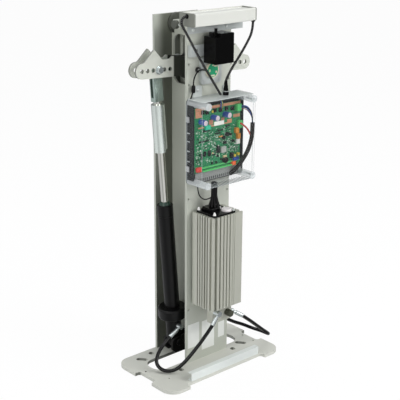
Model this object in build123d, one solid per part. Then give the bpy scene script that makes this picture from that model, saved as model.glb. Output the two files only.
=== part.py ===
from build123d import *
import os
from math import cos, radians, sin, tan

os.makedirs("parts", exist_ok=True)

# Column frame: the floor point under the drive shaft. The part's own origin is the middle of the
# anchor pattern on the floor, and the column stands beside it.
column_x = 13.5
column_y = 21.5

# Base plate, seen from the part's own origin.
base_length = 449.0
base_front_y = -167.5
base_rear_y = 96.0
base_thickness = 10.0
base_corner = 40.0
side_recess_depth = 18.0
side_recess_y = (-77.0, 0.0)
front_recess_half = 152.0
front_recess_depth = 18.0
recess_corner = 9.0
cable_opening = (332.0, 75.0)
cable_opening_corner = 33.0
anchor_spacing_x = 213.0
anchor_spacing_y = 142.0
anchor_hole = 17.0
slot_offset = (153.5, 57.3)
slot_size = (36.0, 16.0)
slot_angle = -49.0
pilot_hole = 6.0
pilot_holes = ((-194, -12), (-170, -90.5), (195.5, -71.5), (196, -22))

# Channel that the missing hood clips to.
rail_x = (-145.0, 128.0)
rail_front_y = -170.0
rail_depth = 16.0
rail_height = 25.0
rail_wall = 2.5

# Column: two uprights tied by two webs.
upright_width = 165.5
upright_thickness = 8.0
upright_gap = 133.0
front_upright_top = 1032.0
rear_upright_top = 1045.0
web_inner_x = 12.0
web_thickness = 6.0
web_top = 1010.0
web_slot_margin = 6.7
web_slot_z = (846.0, 988.0)
web_slot_corner = 25.0
web_relief = 2.0
plate_hole = 6.0
plate_hole_x = 75.5
plate_hole_heights = (185.0, 532.0, 865.0, 922.0)

# Drive shaft and its bearings.
shaft_z = 900.0
shaft_radius = 17.5
shaft_front_y = -86.0
running_gap = 0.06
bearing_side = 76.0
bearing_flange = 10.0
bearing_spigot_radius = 26.0
bearing_spigot = 7.0
bearing_corner = 6.0
bearing_screw_spacing = 58.0
bearing_screw_radius = 4.0
bearing_screw_head = 1.2
drive_flange_gap = 3.5
drive_flange_radius = 50.0
drive_flange_thickness = 12.0
drive_flange_pcd = 76.0
drive_flange_hole = 8.5

# Rocker: two plates on a hub, tilted in the pose of the photograph.
rest_tilt = 2.36
rocker_half = 17.0
rocker_plate = 6.0
rocker_end_x = 193.5
rocker_end_radius = 22.0
rocker_hole = 12.5
rocker_hole_first = 95.0
rocker_hole_pitch = 20.0
rocker_hole_count = 6
stop_distance = 68.0
peak_x = 153.2
notch_floor = 28.0
hump_x = 87.0
hump_height = 35.5
crown_height = 30.5
hub_radius = 32.0
hub_spigot_radius = 25.0
hub_half = 27.0
left_bolt_reach = 135.0
right_bolt_reach = 95.0
bolt_radius = 6.0
bolt_head_radius = 9.5
bolt_head_height = 7.5
washer_radius = 12.0
washer_thickness = 2.5

# Stops on the webs.
stop_gap = 0.3
stop_bar_half_x = 56.0
stop_bar_half_y = 16.0
stop_bar_height = 24.0
buffer_radius = 12.0

# Rams: one under each arm of the rocker. Lengths run along the ram from its foot pin.
foot_x = 67.5
foot_z = 60.0
foot_pin_radius = 8.0
foot_eye_radius = 22.0
foot_eye_half = 13.0
foot_neck_radius = 24.0
collar_start = 80.0
collar_end = 115.0
collar_radius = 44.0
collar_corner = 6.0
tube_radius = 23.0
tube_bore = 19.0
tube_end = 411.0
gland_length = 35.0
wiper_height = 9.0
wiper_radius = 17.0
rod_radius = 10.5
sliding_gap = 0.3
piston_height = 28.0
piston_below_bolt = 590.0
shroud_gap = 9.0
shroud_length = 140.0
shroud_radius = 19.0
shroud_wall = 2.5
clevis_below_bolt = 91.0
clevis_width = 33.0
clevis_half = 10.0
clevis_ear = 5.0
clevis_base = 12.0
head_half_height = 18.6
link_play = 5.3
left_travel_deg = (-47.36, 42.64)
port_along = 55.0
port_seat = 1.6
bracket_top = 78.0
bracket_ear = 8.0
bracket_ear_gap = 0.5
bracket_depth = 60.0
bracket_back = 7.0
bracket_ear_bottom = 26.0
bracket_ear_reach = 3.0
bracket_corner = 12.0

# Light bar across the top, on its folded bracket.
bar_x = (-113.0, 117.5)
bar_y = (-140.0, -78.0)
bar_z = (1032.6, 1068.6)
bar_wall = 3.0
bar_corner = 4.0
lens_depth = 3.0
lens_lip = 7.0
bar_cap = 4.0
bar_bracket_x = (-81.0, 125.0)
bar_bracket_drop = 27.6
bar_bracket_reach = 30.0
sheet_thickness = 2.5
bracket_screw_x = (-62.8, 60.6)
bracket_screw_z = 1015.5

# Round black cap at the head of the rear upright.
cap_x = -4.5
cap_z = 1017.0
cap_radius = 29.0
cap_thickness = 6.0
cap_button_radius = 7.0
cap_button_height = 3.0

# Mains terminal box and its hat bracket.
mains_x = (-31.0, 38.0)
mains_y = (-135.0, -86.0)
mains_z = (923.0, 1007.0)
mains_step = (20.0, 9.0)
mains_corner = 3.0
mains_bracket_x = (-79.0, 30.0)
mains_bracket_z = (943.0, 975.0)
mains_nub_x = (-22.0, -9.0)
mains_nub_radius = 4.5

# Encoder on the front end of the shaft.
encoder_radius = 22.5
encoder_bore = 19.5
encoder_depth = 5.5
encoder_board = 1.6

# Control enclosure.
cover_x = (-86.0, 111.0)
cover_z = (577.0, 827.0)
cover_front_y = -158.0
cover_wall = 2.0
cover_corner = 14.0
cover_gap = 0.3
tray_z = (585.0, 815.0)
tray_front_y = -104.0
tray_wall = 2.5
pillar_radius = 8.0
pillar_bore = 4.5
pillar_lift = 3.0
vent_count = 9
vent_pitch = 14.0
vent_size = (5.0, 30.0)
board_x = (-82.0, 92.0)
board_z = (617.0, 805.0)
board_y = -107.8
board_thickness = 1.6
clip_z = (627.0, 770.0)
gland_place = (34.0, -107.5)
gland_radius = 12.0
gland_height = 41.0
grommet_place = (12.0, -110.0)
grommet_radius = 7.0
grommet_height = 5.0

# Power unit: finned oil tank, its lid and the pump block below it.
tank_x = (-69.0, 47.0)
tank_y = (-172.0, -83.0)
tank_z = (208.0, 495.0)
tank_corner = 16.0
tank_wall = 9.0
tank_floor = 8.0
groove_width = 5.0
groove_depth = 8.0
front_grooves = 6
front_groove_pitch = 10.4
front_groove_inset = 12.0
side_grooves = 5
side_groove_pitch = 13.5
lid_x = (-60.0, 27.0)
lid_y = (-168.0, -86.0)
lid_thickness = 5.0
lid_corner = 9.0
lid_dome = (44.0, 42.0, 9.0)
lid_dome_place = (-22.0, -112.0)
filler_place = (4.0, -149.0)
filler_radius = 15.0
filler_height = 7.0
bundle_place = (-10.5, -112.0)
bundle_radius = 11.0
tank_bracket_heights = (240.0, 440.0)
tank_bracket_size = (70.0, 30.0)
pump_x = (-38.0, 40.0)
pump_y = (-140.0, -114.0)
pump_bottom = 150.0
pump_corner = 4.0
knob_place = (20.0, 174.0)
knob_radius = 10.5
knob_length = 20.0
knob_lobes = 8
motor_radius = 30.0
motor_height = 150.0

# Hoses and light cables. Routes are in the part's own frame.
hose_diameter = 11.0
ferrule_radius = 6.6
neck_radius = 4.0
banjo_radius = 8.5
banjo_half = 7.0
cable_diameter = 7.0
encoder_lead_diameter = 4.0

left_hose_route = [
    (-38.5, -133.5, 156.0),
    (-57.5, -119.5, 117.0),
    (-82.5, -105.5, 79.0),
    (-110.5, -94.5, 46.0),
    (-137.5, -80.5, 20.5),
    (-162.5, -56.5, 17.5),
    (-171.5, -31.5, 34.0),
    (-155.0, -19.0, 57.0),
    (-126.0, -14.0, 80.0),
    (-97.5, -9.5, 92.0),
]
right_hose_route = [
    (98.5, -118.5, 142.0),
    (130.0, -114.5, 117.5),
    (166.0, -110.0, 88.0),
    (206.0, -99.5, 55.5),
    (242.5, -91.5, 27.0),
    (265.5, -69.5, 10.0),
    (266.5, -36.5, 8.5),
    (244.5, -14.5, 18.0),
    (203.5, -9.5, 43.0),
    (161.5, -10.5, 64.5),
    (121.5, -9.5, 92.0),
]
left_cable_route = [
    (-99.5, -88.5, 1060.0),
    (-109.0, -88.5, 1060.0),
    (-117.5, -88.5, 1053.0),
    (-119.5, -88.5, 1041.0),
    (-112.0, -88.5, 1029.0),
    (-96.0, -88.5, 1007.0),
    (-65.0, -88.5, 958.0),
    (-19.0, -88.5, 893.0),
    (25.5, -88.5, 832.0),
]
right_cable_route = [
    (122.5, -113.5, 1032.6),
    (122.5, -112.5, 1004.0),
    (108.5, -107.5, 974.0),
    (86.5, -99.5, 936.0),
    (57.5, -89.5, 893.0),
    (47.5, -86.0, 868.0),
]
encoder_lead_route = [
    (-12.5, -67.5, 902.0),
    (-31.0, -64.5, 908.0),
    (-47.0, -62.5, 893.0),
    (-55.0, -62.5, 871.0),
    (-50.0, -62.5, 853.0),
    (-64.0, -62.5, 827.0),
]

# Sizes worked out from the ones above.
rear_inner_y = upright_gap / 2
rear_outer_y = rear_inner_y + upright_thickness
front_outer_y = -rear_outer_y
shaft_rear_y = rear_outer_y + bearing_flange + drive_flange_gap + drive_flange_thickness
stop_bar_z = (web_top, web_top + stop_bar_height)
gap_half = rocker_half - rocker_plate
gland_end = tube_end + gland_length
wiper_end = gland_end + wiper_height


def slab(x, y, z, corner=0.0):
    """A block from its lowest and highest coordinates, with its upright edges rounded."""
    middle = Pos((x[0] + x[1]) / 2, (y[0] + y[1]) / 2, z[0])
    if corner:
        outline = RectangleRounded(x[1] - x[0], y[1] - y[0], corner)
    else:
        outline = Rectangle(x[1] - x[0], y[1] - y[0])
    return middle * extrude(outline, z[1] - z[0])


def round_y(radius, y0, y1, x=0.0, z=0.0):
    """A round bar along Y from y0 to y1."""
    return Pos(x, (y0 + y1) / 2, z) * Rot(90, 0, 0) * Cylinder(radius, abs(y1 - y0))


def round_z(radius, z0, z1, x=0.0, y=0.0):
    """A round bar along Z from z0 to z1."""
    return Pos(x, y, (z0 + z1) / 2) * Cylinder(radius, abs(z1 - z0))


def round_x(radius, x0, x1, y=0.0, z=0.0):
    """A round bar along X from x0 to x1."""
    return Pos((x0 + x1) / 2, y, z) * Rot(0, 90, 0) * Cylinder(radius, abs(x1 - x0))


def rod_between(start, end, radius):
    """A round bar between two points."""
    line = Line(start, end)
    return sweep(Plane(start, z_dir=line % 0) * Circle(radius), line)


def save(name, *shapes, place=(column_x, column_y, 0)):
    """Writes one node, moved from the column's frame to the part's own."""
    moved = [Pos(*place) * shape for shape in shapes]
    solids = [solid for shape in moved for solid in shape.solids()]
    export_step(Compound(children=solids), f"parts/{name}.step")


# Base plate and hood channel.


def base_plate():
    depth = base_rear_y - base_front_y
    outline = Pos(0, (base_front_y + base_rear_y) / 2) * RectangleRounded(base_length, depth, base_corner)
    recess_width = side_recess_y[1] - side_recess_y[0]
    recess_middle = sum(side_recess_y) / 2
    for side in (-1, 1):
        recess = RectangleRounded(2 * side_recess_depth, recess_width, recess_corner)
        outline -= Pos(side * base_length / 2, recess_middle) * recess
    front_recess = RectangleRounded(2 * front_recess_half, 2 * front_recess_depth, recess_corner)
    outline -= Pos(0, base_front_y) * front_recess
    outline -= RectangleRounded(*cable_opening, cable_opening_corner)
    for side in (-1, 1):
        for end in (-1, 1):
            outline -= Pos(side * anchor_spacing_x / 2, end * anchor_spacing_y / 2) * Circle(anchor_hole / 2)
        place = Pos(side * slot_offset[0], -side * slot_offset[1])
        outline -= place * Rot(0, 0, slot_angle) * SlotOverall(*slot_size)
    for x, y in pilot_holes:
        outline -= Pos(x, y) * Circle(pilot_hole / 2)
    return extrude(outline, base_thickness)


def hood_rail():
    y = (rail_front_y, rail_front_y + rail_depth)
    z = (base_thickness, base_thickness + rail_height)
    channel = slab(rail_x, y, z)
    inner_y = (y[0] + rail_wall, y[1] + rail_wall)
    inner_z = (z[0] + rail_wall, z[1] - rail_wall)
    return channel - slab(rail_x, inner_y, inner_z)


# Column.


def upright(inner_y, outer_y, top):
    x = (-upright_width / 2, upright_width / 2)
    y = (min(inner_y, outer_y), max(inner_y, outer_y))
    plate = slab(x, y, (base_thickness, top))
    return plate - round_y(bearing_spigot_radius, y[0] - 1, y[1] + 1, 0, shaft_z)


def front_upright():
    plate = upright(-rear_inner_y, front_outer_y, front_upright_top)
    for side in (-1, 1):
        for height in plate_hole_heights:
            plate -= round_y(plate_hole / 2, front_outer_y - 1, -rear_inner_y + 1, side * plate_hole_x, height)
    return plate


def web(side):
    x = sorted((side * web_inner_x, side * (web_inner_x + web_thickness)))
    panel = slab(x, (-rear_inner_y, rear_inner_y), (base_thickness, web_top))
    slot_half = rear_inner_y - web_slot_margin
    slot_height = web_slot_z[1] - web_slot_z[0]
    slot = RectangleRounded(2 * slot_half, slot_height, web_slot_corner)
    cutter = extrude(Plane.YZ * slot, web_inner_x + 2 * web_thickness, both=True)
    panel -= Pos(0, 0, sum(web_slot_z) / 2) * cutter
    panel -= round_y(shaft_radius + web_relief, -rear_inner_y - 1, rear_inner_y + 1, 0, shaft_z)
    cap_front = rear_inner_y - cap_thickness - cap_button_height
    return panel - round_y(cap_radius + web_relief, cap_front - web_relief, rear_inner_y + 1, cap_x, cap_z)


def stop_bar():
    x = (-stop_bar_half_x, stop_bar_half_x)
    return slab(x, (-stop_bar_half_y, stop_bar_half_y), stop_bar_z)


def stop_buffer(side):
    reach = stop_distance - stop_gap
    height = sum(stop_bar_z) / 2
    buffer = round_x(buffer_radius, side * stop_bar_half_x, side * reach, 0, height)
    end = buffer.faces().sort_by(Axis.X)[-1 if side > 0 else 0]
    return chamfer(end.edges(), 1.5)


# Bearings, shaft and drive flange.


def bearing(outer_y, side):
    """A square flanged housing that is bolted outside an upright, its spigot in the plate."""
    face_y = outer_y + side * bearing_flange
    y = sorted((outer_y, face_y))
    square = Plane.XZ * RectangleRounded(bearing_side, bearing_side, bearing_corner)
    flange = Pos(0, y[1], shaft_z) * extrude(square, y[1] - y[0])
    spigot = round_y(bearing_spigot_radius, outer_y, outer_y - side * bearing_spigot, 0, shaft_z)
    housing = flange + spigot
    for x in (-1, 1):
        for z in (-1, 1):
            place = (x * bearing_screw_spacing / 2, shaft_z + z * bearing_screw_spacing / 2)
            housing += round_y(bearing_screw_radius, face_y, face_y + side * bearing_screw_head, *place)
    reach = outer_y - side * (bearing_spigot + 1)
    return housing - round_y(shaft_radius + running_gap, reach, face_y + side, 0, shaft_z)


def main_shaft():
    end_y = rear_outer_y + bearing_flange + drive_flange_gap
    shaft = round_y(shaft_radius, shaft_front_y, end_y, 0, shaft_z)
    return chamfer(shaft.edges().group_by(Axis.Y)[0], 1.5)


def drive_flange():
    """The boom's seat: a disc on the shaft's rear end with four screw holes."""
    front = shaft_rear_y - drive_flange_thickness
    disc = round_y(drive_flange_radius, front, shaft_rear_y, 0, shaft_z)
    for corner in range(4):
        angle = radians(45 + 90 * corner)
        x = drive_flange_pcd / 2 * cos(angle)
        z = shaft_z + drive_flange_pcd / 2 * sin(angle)
        disc -= round_y(drive_flange_hole / 2, front - 1, shaft_rear_y + 1, x, z)
    return disc


# Rocker. Its outline is drawn level about the shaft, then tilted.


def rocker_outline():
    """Right half of the rocker plate: round end, stop nose, notch for the buffer, crown."""
    lean = stop_distance * 2 ** 0.5
    peak_z = peak_x - lean
    notch_x = lean + notch_floor
    outer_foot_x = peak_x + peak_z - rocker_end_radius
    end_x = rocker_end_x
    rise_x = hump_x + hump_height - notch_floor
    top = Polyline(
        (0, crown_height),
        (hump_x / 2, crown_height),
        (hump_x, hump_height),
        (rise_x, notch_floor),
        (notch_x, notch_floor),
        (peak_x, peak_z),
        (outer_foot_x, rocker_end_radius),
        (end_x, rocker_end_radius),
    )
    nose = ThreePointArc((end_x, rocker_end_radius), (end_x + rocker_end_radius, 0), (end_x, -rocker_end_radius))
    bottom = Polyline((end_x, -rocker_end_radius), (0, -rocker_end_radius), (0, crown_height))
    return make_face([*top.edges(), *nose.edges(), *bottom.edges()])


def soften(outline):
    """Rounds the notch, the foot of the nose and the nose's tip as the plate is cut."""
    radii = {
        (round(stop_distance * 2 ** 0.5 + notch_floor, 3), notch_floor): 3.0,
        (round(hump_x + hump_height - notch_floor, 3), notch_floor): 14.0,
        (round(2 * peak_x - stop_distance * 2 ** 0.5 - rocker_end_radius, 3), rocker_end_radius): 12.0,
        (peak_x, round(peak_x - stop_distance * 2 ** 0.5, 3)): 2.5,
        (hump_x, hump_height): 3.0,
    }
    for (x, z), radius in radii.items():
        corners = [v for v in outline.vertices() if abs(v.X - x) < 0.01 and abs(v.Y - z) < 0.01]
        outline = fillet(corners, radius)
    return outline


def rocker_plate_solid(y0):
    half = soften(rocker_outline())
    outline = half + mirror(half, about=Plane.YZ)
    outline += Circle(hub_radius + 8)
    outline -= Circle(hub_spigot_radius)
    for index in range(rocker_hole_count):
        reach = rocker_hole_first + index * rocker_hole_pitch
        for side in (-1, 1):
            outline -= Pos(side * reach, 0) * Circle(rocker_hole / 2)
    plate = extrude(Plane.XZ * outline, -rocker_plate)
    return at_rest(Pos(0, y0, 0) * plate)


def at_rest(shape):
    """Turns a level rocker piece to its pose in the photograph, on the shaft's axis."""
    return Pos(0, 0, shaft_z) * Rot(0, rest_tilt, 0) * shape


def rocker_hub():
    hub = round_y(hub_radius, -gap_half, gap_half) + round_y(hub_spigot_radius, -hub_half, hub_half)
    return at_rest(hub - round_y(shaft_radius, -hub_half - 1, hub_half + 1))


def link_bolt(reach):
    """A bolt through both rocker plates, with a washer under its head."""
    head_y = -rocker_half - washer_thickness
    shank = round_y(bolt_radius, head_y, rocker_half + washer_thickness, reach)
    washer = round_y(washer_radius, head_y, -rocker_half, reach)
    head = round_y(bolt_head_radius, head_y - bolt_head_height, head_y, reach)
    head = chamfer(head.edges().group_by(Axis.Y)[0], 1.2)
    return at_rest(shank + washer + head)


def link_nut(reach):
    seat = rocker_half + washer_thickness
    hexagon = Plane.XZ * RegularPolygon(bolt_head_radius, 6)
    nut = Pos(reach, seat + bolt_head_height, 0) * extrude(hexagon, bolt_head_height)
    washer = round_y(washer_radius, rocker_half, seat, reach)
    bore = round_y(bolt_radius, rocker_half - 1, seat, reach)
    return at_rest((washer - bore) + nut)


# Rams. Each is drawn upright from its foot pin, then leaned to its bolt on the rocker.


def bolt_place(reach):
    """Where a rocker bolt stands at rest, in the column's frame."""
    tilt = radians(rest_tilt)
    return reach * cos(tilt), shaft_z - reach * sin(tilt)


def ram_geometry(side):
    """The ram's length and lean at rest, from foot pin to rocker bolt."""
    reach = side * (left_bolt_reach if side < 0 else right_bolt_reach)
    x, z = bolt_place(reach)
    line = Vector(x - side * foot_x, 0, z - foot_z)
    lean = Vector(0, 0, 1).get_angle(line) * side
    return line.length, lean


def link_travel(side):
    """How far the rocker bolt wanders across the ram over the rocker's range."""
    reach = side * (left_bolt_reach if side < 0 else right_bolt_reach)
    lean = radians(ram_geometry(side)[1])
    start_x, start_z = bolt_place(reach)
    wander = []
    for turn in left_travel_deg:
        angle = radians(rest_tilt + turn)
        x = reach * cos(angle) - start_x
        z = shaft_z - reach * sin(angle) - start_z
        wander.append(x * cos(lean) - z * sin(lean))
    return min(0.0, *wander), max(0.0, *wander)


def placed(side, shape):
    """Sets an upright ram piece on its foot pin, leaned to the rocker."""
    return Pos(side * foot_x, 0, foot_z) * Rot(0, ram_geometry(side)[1], 0) * shape


def ram_tube(side):
    outer = round_z(tube_radius, collar_end, tube_end)
    return placed(side, outer - round_z(tube_bore, collar_end, tube_end + 1))


def ram_foot(side):
    """Cast foot: collar, neck and the eye that swings on the foot pin."""
    collar = round_z(collar_radius, collar_start, collar_end)
    collar = fillet(collar.edges().filter_by(GeomType.CIRCLE), collar_corner)
    neck = round_z(foot_neck_radius, 0, collar_start + 1)
    cheeks = slab((-60, 60), (foot_eye_half, 60), (-60, collar_start - 40))
    neck -= cheeks + mirror(cheeks, about=Plane.XZ)
    eye = round_y(foot_eye_radius, -foot_eye_half, foot_eye_half)
    body = collar + neck + eye
    body -= round_y(banjo_radius + 0.3, -foot_neck_radius - 1, -foot_neck_radius + port_seat, 0, port_along)
    return placed(side, body - round_y(foot_pin_radius, -foot_eye_half - 1, foot_eye_half + 1))


def ram_gland(side):
    nut = round_z(tube_radius + 0.6, tube_end, gland_end)
    nut = chamfer(nut.edges().filter_by(GeomType.CIRCLE), 1.0)
    return placed(side, nut - round_z(rod_radius + sliding_gap, tube_end - 1, gland_end + 1))


def ram_wiper(side):
    middle = (gland_end + wiper_end) / 2
    seal = Pos(0, 0, middle) * Cone(wiper_radius, rod_radius + 2.5, wiper_height)
    return placed(side, seal - round_z(rod_radius + sliding_gap, gland_end - 1, wiper_end + 1))


def ram_rod(side):
    bolt = ram_geometry(side)[0]
    return placed(side, round_z(rod_radius, bolt - piston_below_bolt, bolt - clevis_below_bolt))


def ram_piston(side):
    low = ram_geometry(side)[0] - piston_below_bolt
    piston = round_z(tube_bore - sliding_gap, low, low + piston_height)
    return placed(side, piston - round_z(rod_radius, low - 1, low + piston_height + 1))


def ram_shroud(side):
    """The bright sleeve on the rod's head, with a notch cut in its mouth."""
    high = ram_geometry(side)[0] - clevis_below_bolt - shroud_gap
    low = high - shroud_length
    sleeve = round_z(shroud_radius, low, high)
    sleeve -= round_z(shroud_radius - shroud_wall, low - 1, high - 4)
    sleeve -= round_z(rod_radius, low - 1, high + 1)
    notch = slab((4, shroud_radius + 1), (-shroud_radius - 1, 0), (low - 1, low + 9))
    return placed(side, sleeve - notch)


def ram_clevis(side):
    """Forked head. Its ears carry a cross slot, in which the rocker bolt slides."""
    bolt = ram_geometry(side)[0]
    low = bolt - clevis_below_bolt
    reach = link_travel(side)
    wide = clevis_width / 2
    ears_x = (reach[0] - wide, reach[1] + wide)
    fork = slab((-wide, wide), (-clevis_half, clevis_half), (low, bolt - head_half_height), 3.0)
    stem_gap = slab((-wide - 1, wide + 1), (-clevis_half + clevis_ear, clevis_half - clevis_ear), (low + clevis_base, bolt))
    fork -= stem_gap
    slot_half = bolt_radius + link_play
    head = Pos((ears_x[0] + ears_x[1]) / 2, 0, bolt) * extrude(
        Plane.XZ * RectangleRounded(ears_x[1] - ears_x[0], 2 * head_half_height, 12), clevis_half, both=True
    )
    head -= slab((ears_x[0] - 1, ears_x[1] + 1), (-clevis_half + clevis_ear, clevis_half - clevis_ear), (bolt - 40, bolt + 40))
    slot_length = reach[1] - reach[0] + 2 * slot_half
    slot = Plane.XZ * SlotOverall(slot_length, 2 * slot_half)
    head -= Pos((reach[0] + reach[1]) / 2, 0, bolt) * extrude(slot, clevis_half + 1, both=True)
    return placed(side, fork + head)


def foot_bracket(side):
    """Welded fork on the web and the base plate that holds the foot pin between two ears."""
    web_face = web_inner_x + web_thickness
    outer = foot_x + foot_eye_radius + bracket_ear_reach
    back_x = sorted((side * web_face, side * (web_face + bracket_back)))
    back = slab(back_x, (-bracket_depth / 2, bracket_depth / 2), (base_thickness, bracket_top))
    inner_y = foot_eye_half + bracket_ear_gap
    ears = None
    for end in (-1, 1):
        y = sorted((end * inner_y, end * (inner_y + bracket_ear)))
        profile = Polyline(
            (web_face, bracket_ear_bottom),
            (outer - bracket_corner, bracket_ear_bottom),
            (outer, bracket_ear_bottom + bracket_corner),
            (outer, bracket_top - bracket_corner),
            (outer - bracket_corner, bracket_top),
            (web_face, bracket_top),
            (web_face, bracket_ear_bottom),
        )
        face = make_face(profile.edges())
        ear = extrude(Plane.XZ * face, -bracket_ear)
        ear = Pos(0, y[0], 0) * ear
        if side < 0:
            ear = mirror(ear, about=Plane.YZ)
        back += ear
    return back - round_y(foot_pin_radius, -60, 60, side * foot_x, foot_z)


def foot_pin(side):
    half = foot_eye_half + bracket_ear_gap + bracket_ear
    pin = round_y(foot_pin_radius, -half, half, side * foot_x, foot_z)
    head = round_y(foot_pin_radius + 4, -half - 6, -half, side * foot_x, foot_z)
    head = chamfer(head.edges().group_by(Axis.Y)[0], 1.5)
    return pin + head


# Light bar, bracket and cap.


def trough_x():
    """The bar's length without its two end caps."""
    return bar_x[0] + bar_cap, bar_x[1] - bar_cap


def light_bar():
    """Extruded trough, open on top for the lens and hollow inside."""
    block = slab(trough_x(), bar_y, bar_z)
    block = fillet(block.edges().filter_by(Axis.X), bar_corner)
    inner_y = (bar_y[0] + bar_wall, bar_y[1] - bar_wall)
    block -= slab(trough_x(), inner_y, (bar_z[0] + bar_wall, bar_z[1] - lens_depth - bar_wall))
    mouth_y = (bar_y[0] + lens_lip, bar_y[1] - lens_lip)
    block -= slab(trough_x(), mouth_y, (bar_z[1] - lens_depth - bar_wall - 1, bar_z[1] + 1))
    return block


def bar_lens():
    y = (bar_y[0] + lens_lip, bar_y[1] - lens_lip)
    return slab(trough_x(), y, (bar_z[1] - lens_depth - bar_wall, bar_z[1] - lens_depth))


def led_board():
    y = (bar_y[0] + bar_wall + 12, bar_y[1] - bar_wall - 12)
    x = (bar_x[0] + 8, bar_x[1] - 8)
    return slab(x, y, (bar_z[0] + bar_wall, bar_z[0] + bar_wall + 2))


def bar_end_cap(side):
    x = (bar_x[0], trough_x()[0]) if side < 0 else (trough_x()[1], bar_x[1])
    cap = slab(x, bar_y, bar_z)
    return fillet(cap.edges().filter_by(Axis.X), bar_corner)


def bar_bracket():
    top = bar_z[0]
    leg_y = (front_outer_y - sheet_thickness, front_outer_y)
    leg = slab(bar_bracket_x, leg_y, (top - bar_bracket_drop, top))
    shelf_y = (front_outer_y - bar_bracket_reach, front_outer_y)
    shelf = slab(bar_bracket_x, shelf_y, (top - sheet_thickness, top))
    return leg + shelf


def bracket_screw(x):
    seat = front_outer_y - sheet_thickness
    screw = round_y(4.5, seat - 3, seat, x, bracket_screw_z)
    return chamfer(screw.edges().group_by(Axis.Y)[0], 1.0)


def rear_cap():
    cap = round_y(cap_radius, rear_inner_y - cap_thickness, rear_inner_y, cap_x, cap_z)
    cap = fillet(cap.edges().group_by(Axis.Y)[0], 2.0)
    seat = rear_inner_y - cap_thickness
    return cap + round_y(cap_button_radius, seat - cap_button_height, seat, cap_x, cap_z)


# Mains box.


def mains_box():
    box = slab(mains_x, mains_y, mains_z)
    step_x = (mains_x[0], mains_x[0] + mains_step[0])
    box -= slab(step_x, mains_y, (mains_z[1] - mains_step[1], mains_z[1]))
    box = fillet(box.edges().filter_by(Axis.Y), mains_corner)
    front = box.faces().sort_by(Axis.Y)[0]
    return chamfer(front.edges(), 1.0)


def mains_nub(x):
    top = mains_z[1]
    y = sum(mains_y) / 2
    base = top - (mains_step[1] if x < mains_x[0] + mains_step[0] else 0)
    return round_z(mains_nub_radius, base, base + 12, x, y)


def mains_bracket():
    back = mains_y[1]
    face = slab(mains_bracket_x, (back, back + sheet_thickness), mains_bracket_z)
    left_leg = (mains_bracket_x[0], mains_bracket_x[0] + sheet_thickness)
    right_leg = (mains_bracket_x[1] - sheet_thickness, mains_bracket_x[1])
    face += slab(left_leg, (back, front_outer_y), mains_bracket_z)
    face += slab(right_leg, (back, front_outer_y), mains_bracket_z)
    hole_x = mains_bracket_x[0] + 22
    return face - round_y(5, back - 1, back + sheet_thickness + 1, hole_x, sum(mains_bracket_z) / 2)


# Encoder.


def encoder_ring():
    seat = front_outer_y - bearing_flange
    ring = round_y(encoder_radius, seat - encoder_depth, seat, 0, shaft_z)
    return ring - round_y(encoder_bore, seat - encoder_depth - 1, seat + 1, 0, shaft_z)


def encoder_disc():
    front = front_outer_y - bearing_flange - encoder_depth
    board = round_y(encoder_bore, front, front + encoder_board, 0, shaft_z)
    return board


# Control enclosure.


def pillar_places():
    inset = cover_wall + cover_gap + pillar_radius
    x = (cover_x[0] + inset, cover_x[1] - inset)
    z = (cover_z[0] + inset + pillar_lift, cover_z[1] - inset - pillar_lift)
    return [(a, b) for a in x for b in z]


def cover_block(x, z, y, corner):
    """A box whose edges along Y are rounded, from y[0] in front to y[1] behind."""
    outline = Plane.XZ * RectangleRounded(x[1] - x[0], z[1] - z[0], corner)
    return Pos((x[0] + x[1]) / 2, y[1], (z[0] + z[1]) / 2) * extrude(outline, y[1] - y[0])


def enclosure_tray():
    """Dark rear half: back plate, rim, screw bosses and the board's standoffs."""
    back = cover_block(cover_x, cover_z, (front_outer_y - tray_wall, front_outer_y), cover_corner)
    side = cover_wall + cover_gap
    rim_x = (cover_x[0] + side, cover_x[1] - side)
    inner_x = (rim_x[0] + tray_wall, rim_x[1] - tray_wall)
    inner_z = (tray_z[0] + tray_wall, tray_z[1] - tray_wall)
    rim = cover_block(rim_x, tray_z, (tray_front_y, front_outer_y - tray_wall), 6)
    rim -= cover_block(inner_x, inner_z, (tray_front_y - 1, front_outer_y - tray_wall), 4)
    tray = back + rim
    for x, z in pillar_places():
        tray += round_y(pillar_radius, tray_front_y, front_outer_y - tray_wall, x, z)
    for x in (board_x[0] + 14, board_x[1] - 8):
        for z in (board_z[0] + 8, board_z[1] - 22):
            tray += round_y(4, board_y + board_thickness, front_outer_y - tray_wall, x, z)
    return tray


def clear_cover():
    """See-through lid: rounded box open behind, screw pillars in its corners, vents below."""
    y = (cover_front_y, front_outer_y - tray_wall)
    shell = cover_block(cover_x, cover_z, y, cover_corner)
    shell = fillet(shell.faces().sort_by(Axis.Y)[0].edges(), 3.0)
    inner_x = (cover_x[0] + cover_wall, cover_x[1] - cover_wall)
    inner_z = (cover_z[0] + cover_wall, cover_z[1] - cover_wall)
    shell -= cover_block(inner_x, inner_z, (cover_front_y + cover_wall, y[1] + 1), cover_corner - cover_wall)
    for x, z in pillar_places():
        shell += round_y(pillar_radius, cover_front_y + cover_wall, tray_front_y, x, z)
    for x, z in pillar_places():
        shell -= round_y(pillar_bore, cover_front_y - 1, tray_front_y - 20, x, z)
    first = (cover_x[0] + cover_x[1]) / 2 - (vent_count - 1) / 2 * vent_pitch
    for index in range(vent_count):
        middle = first + index * vent_pitch
        x = (middle - vent_size[0] / 2, middle + vent_size[0] / 2)
        vent_y = (tray_front_y - 12 - vent_size[1], tray_front_y - 12)
        shell -= slab(x, vent_y, (cover_z[0] - 1, cover_z[0] + cover_wall + 1))
    for place, radius in ((gland_place, gland_radius - 4), (grommet_place, grommet_radius - 3)):
        shell -= round_z(radius, cover_z[1] - cover_wall - 1, cover_z[1] + 1, *place)
    return shell


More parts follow.
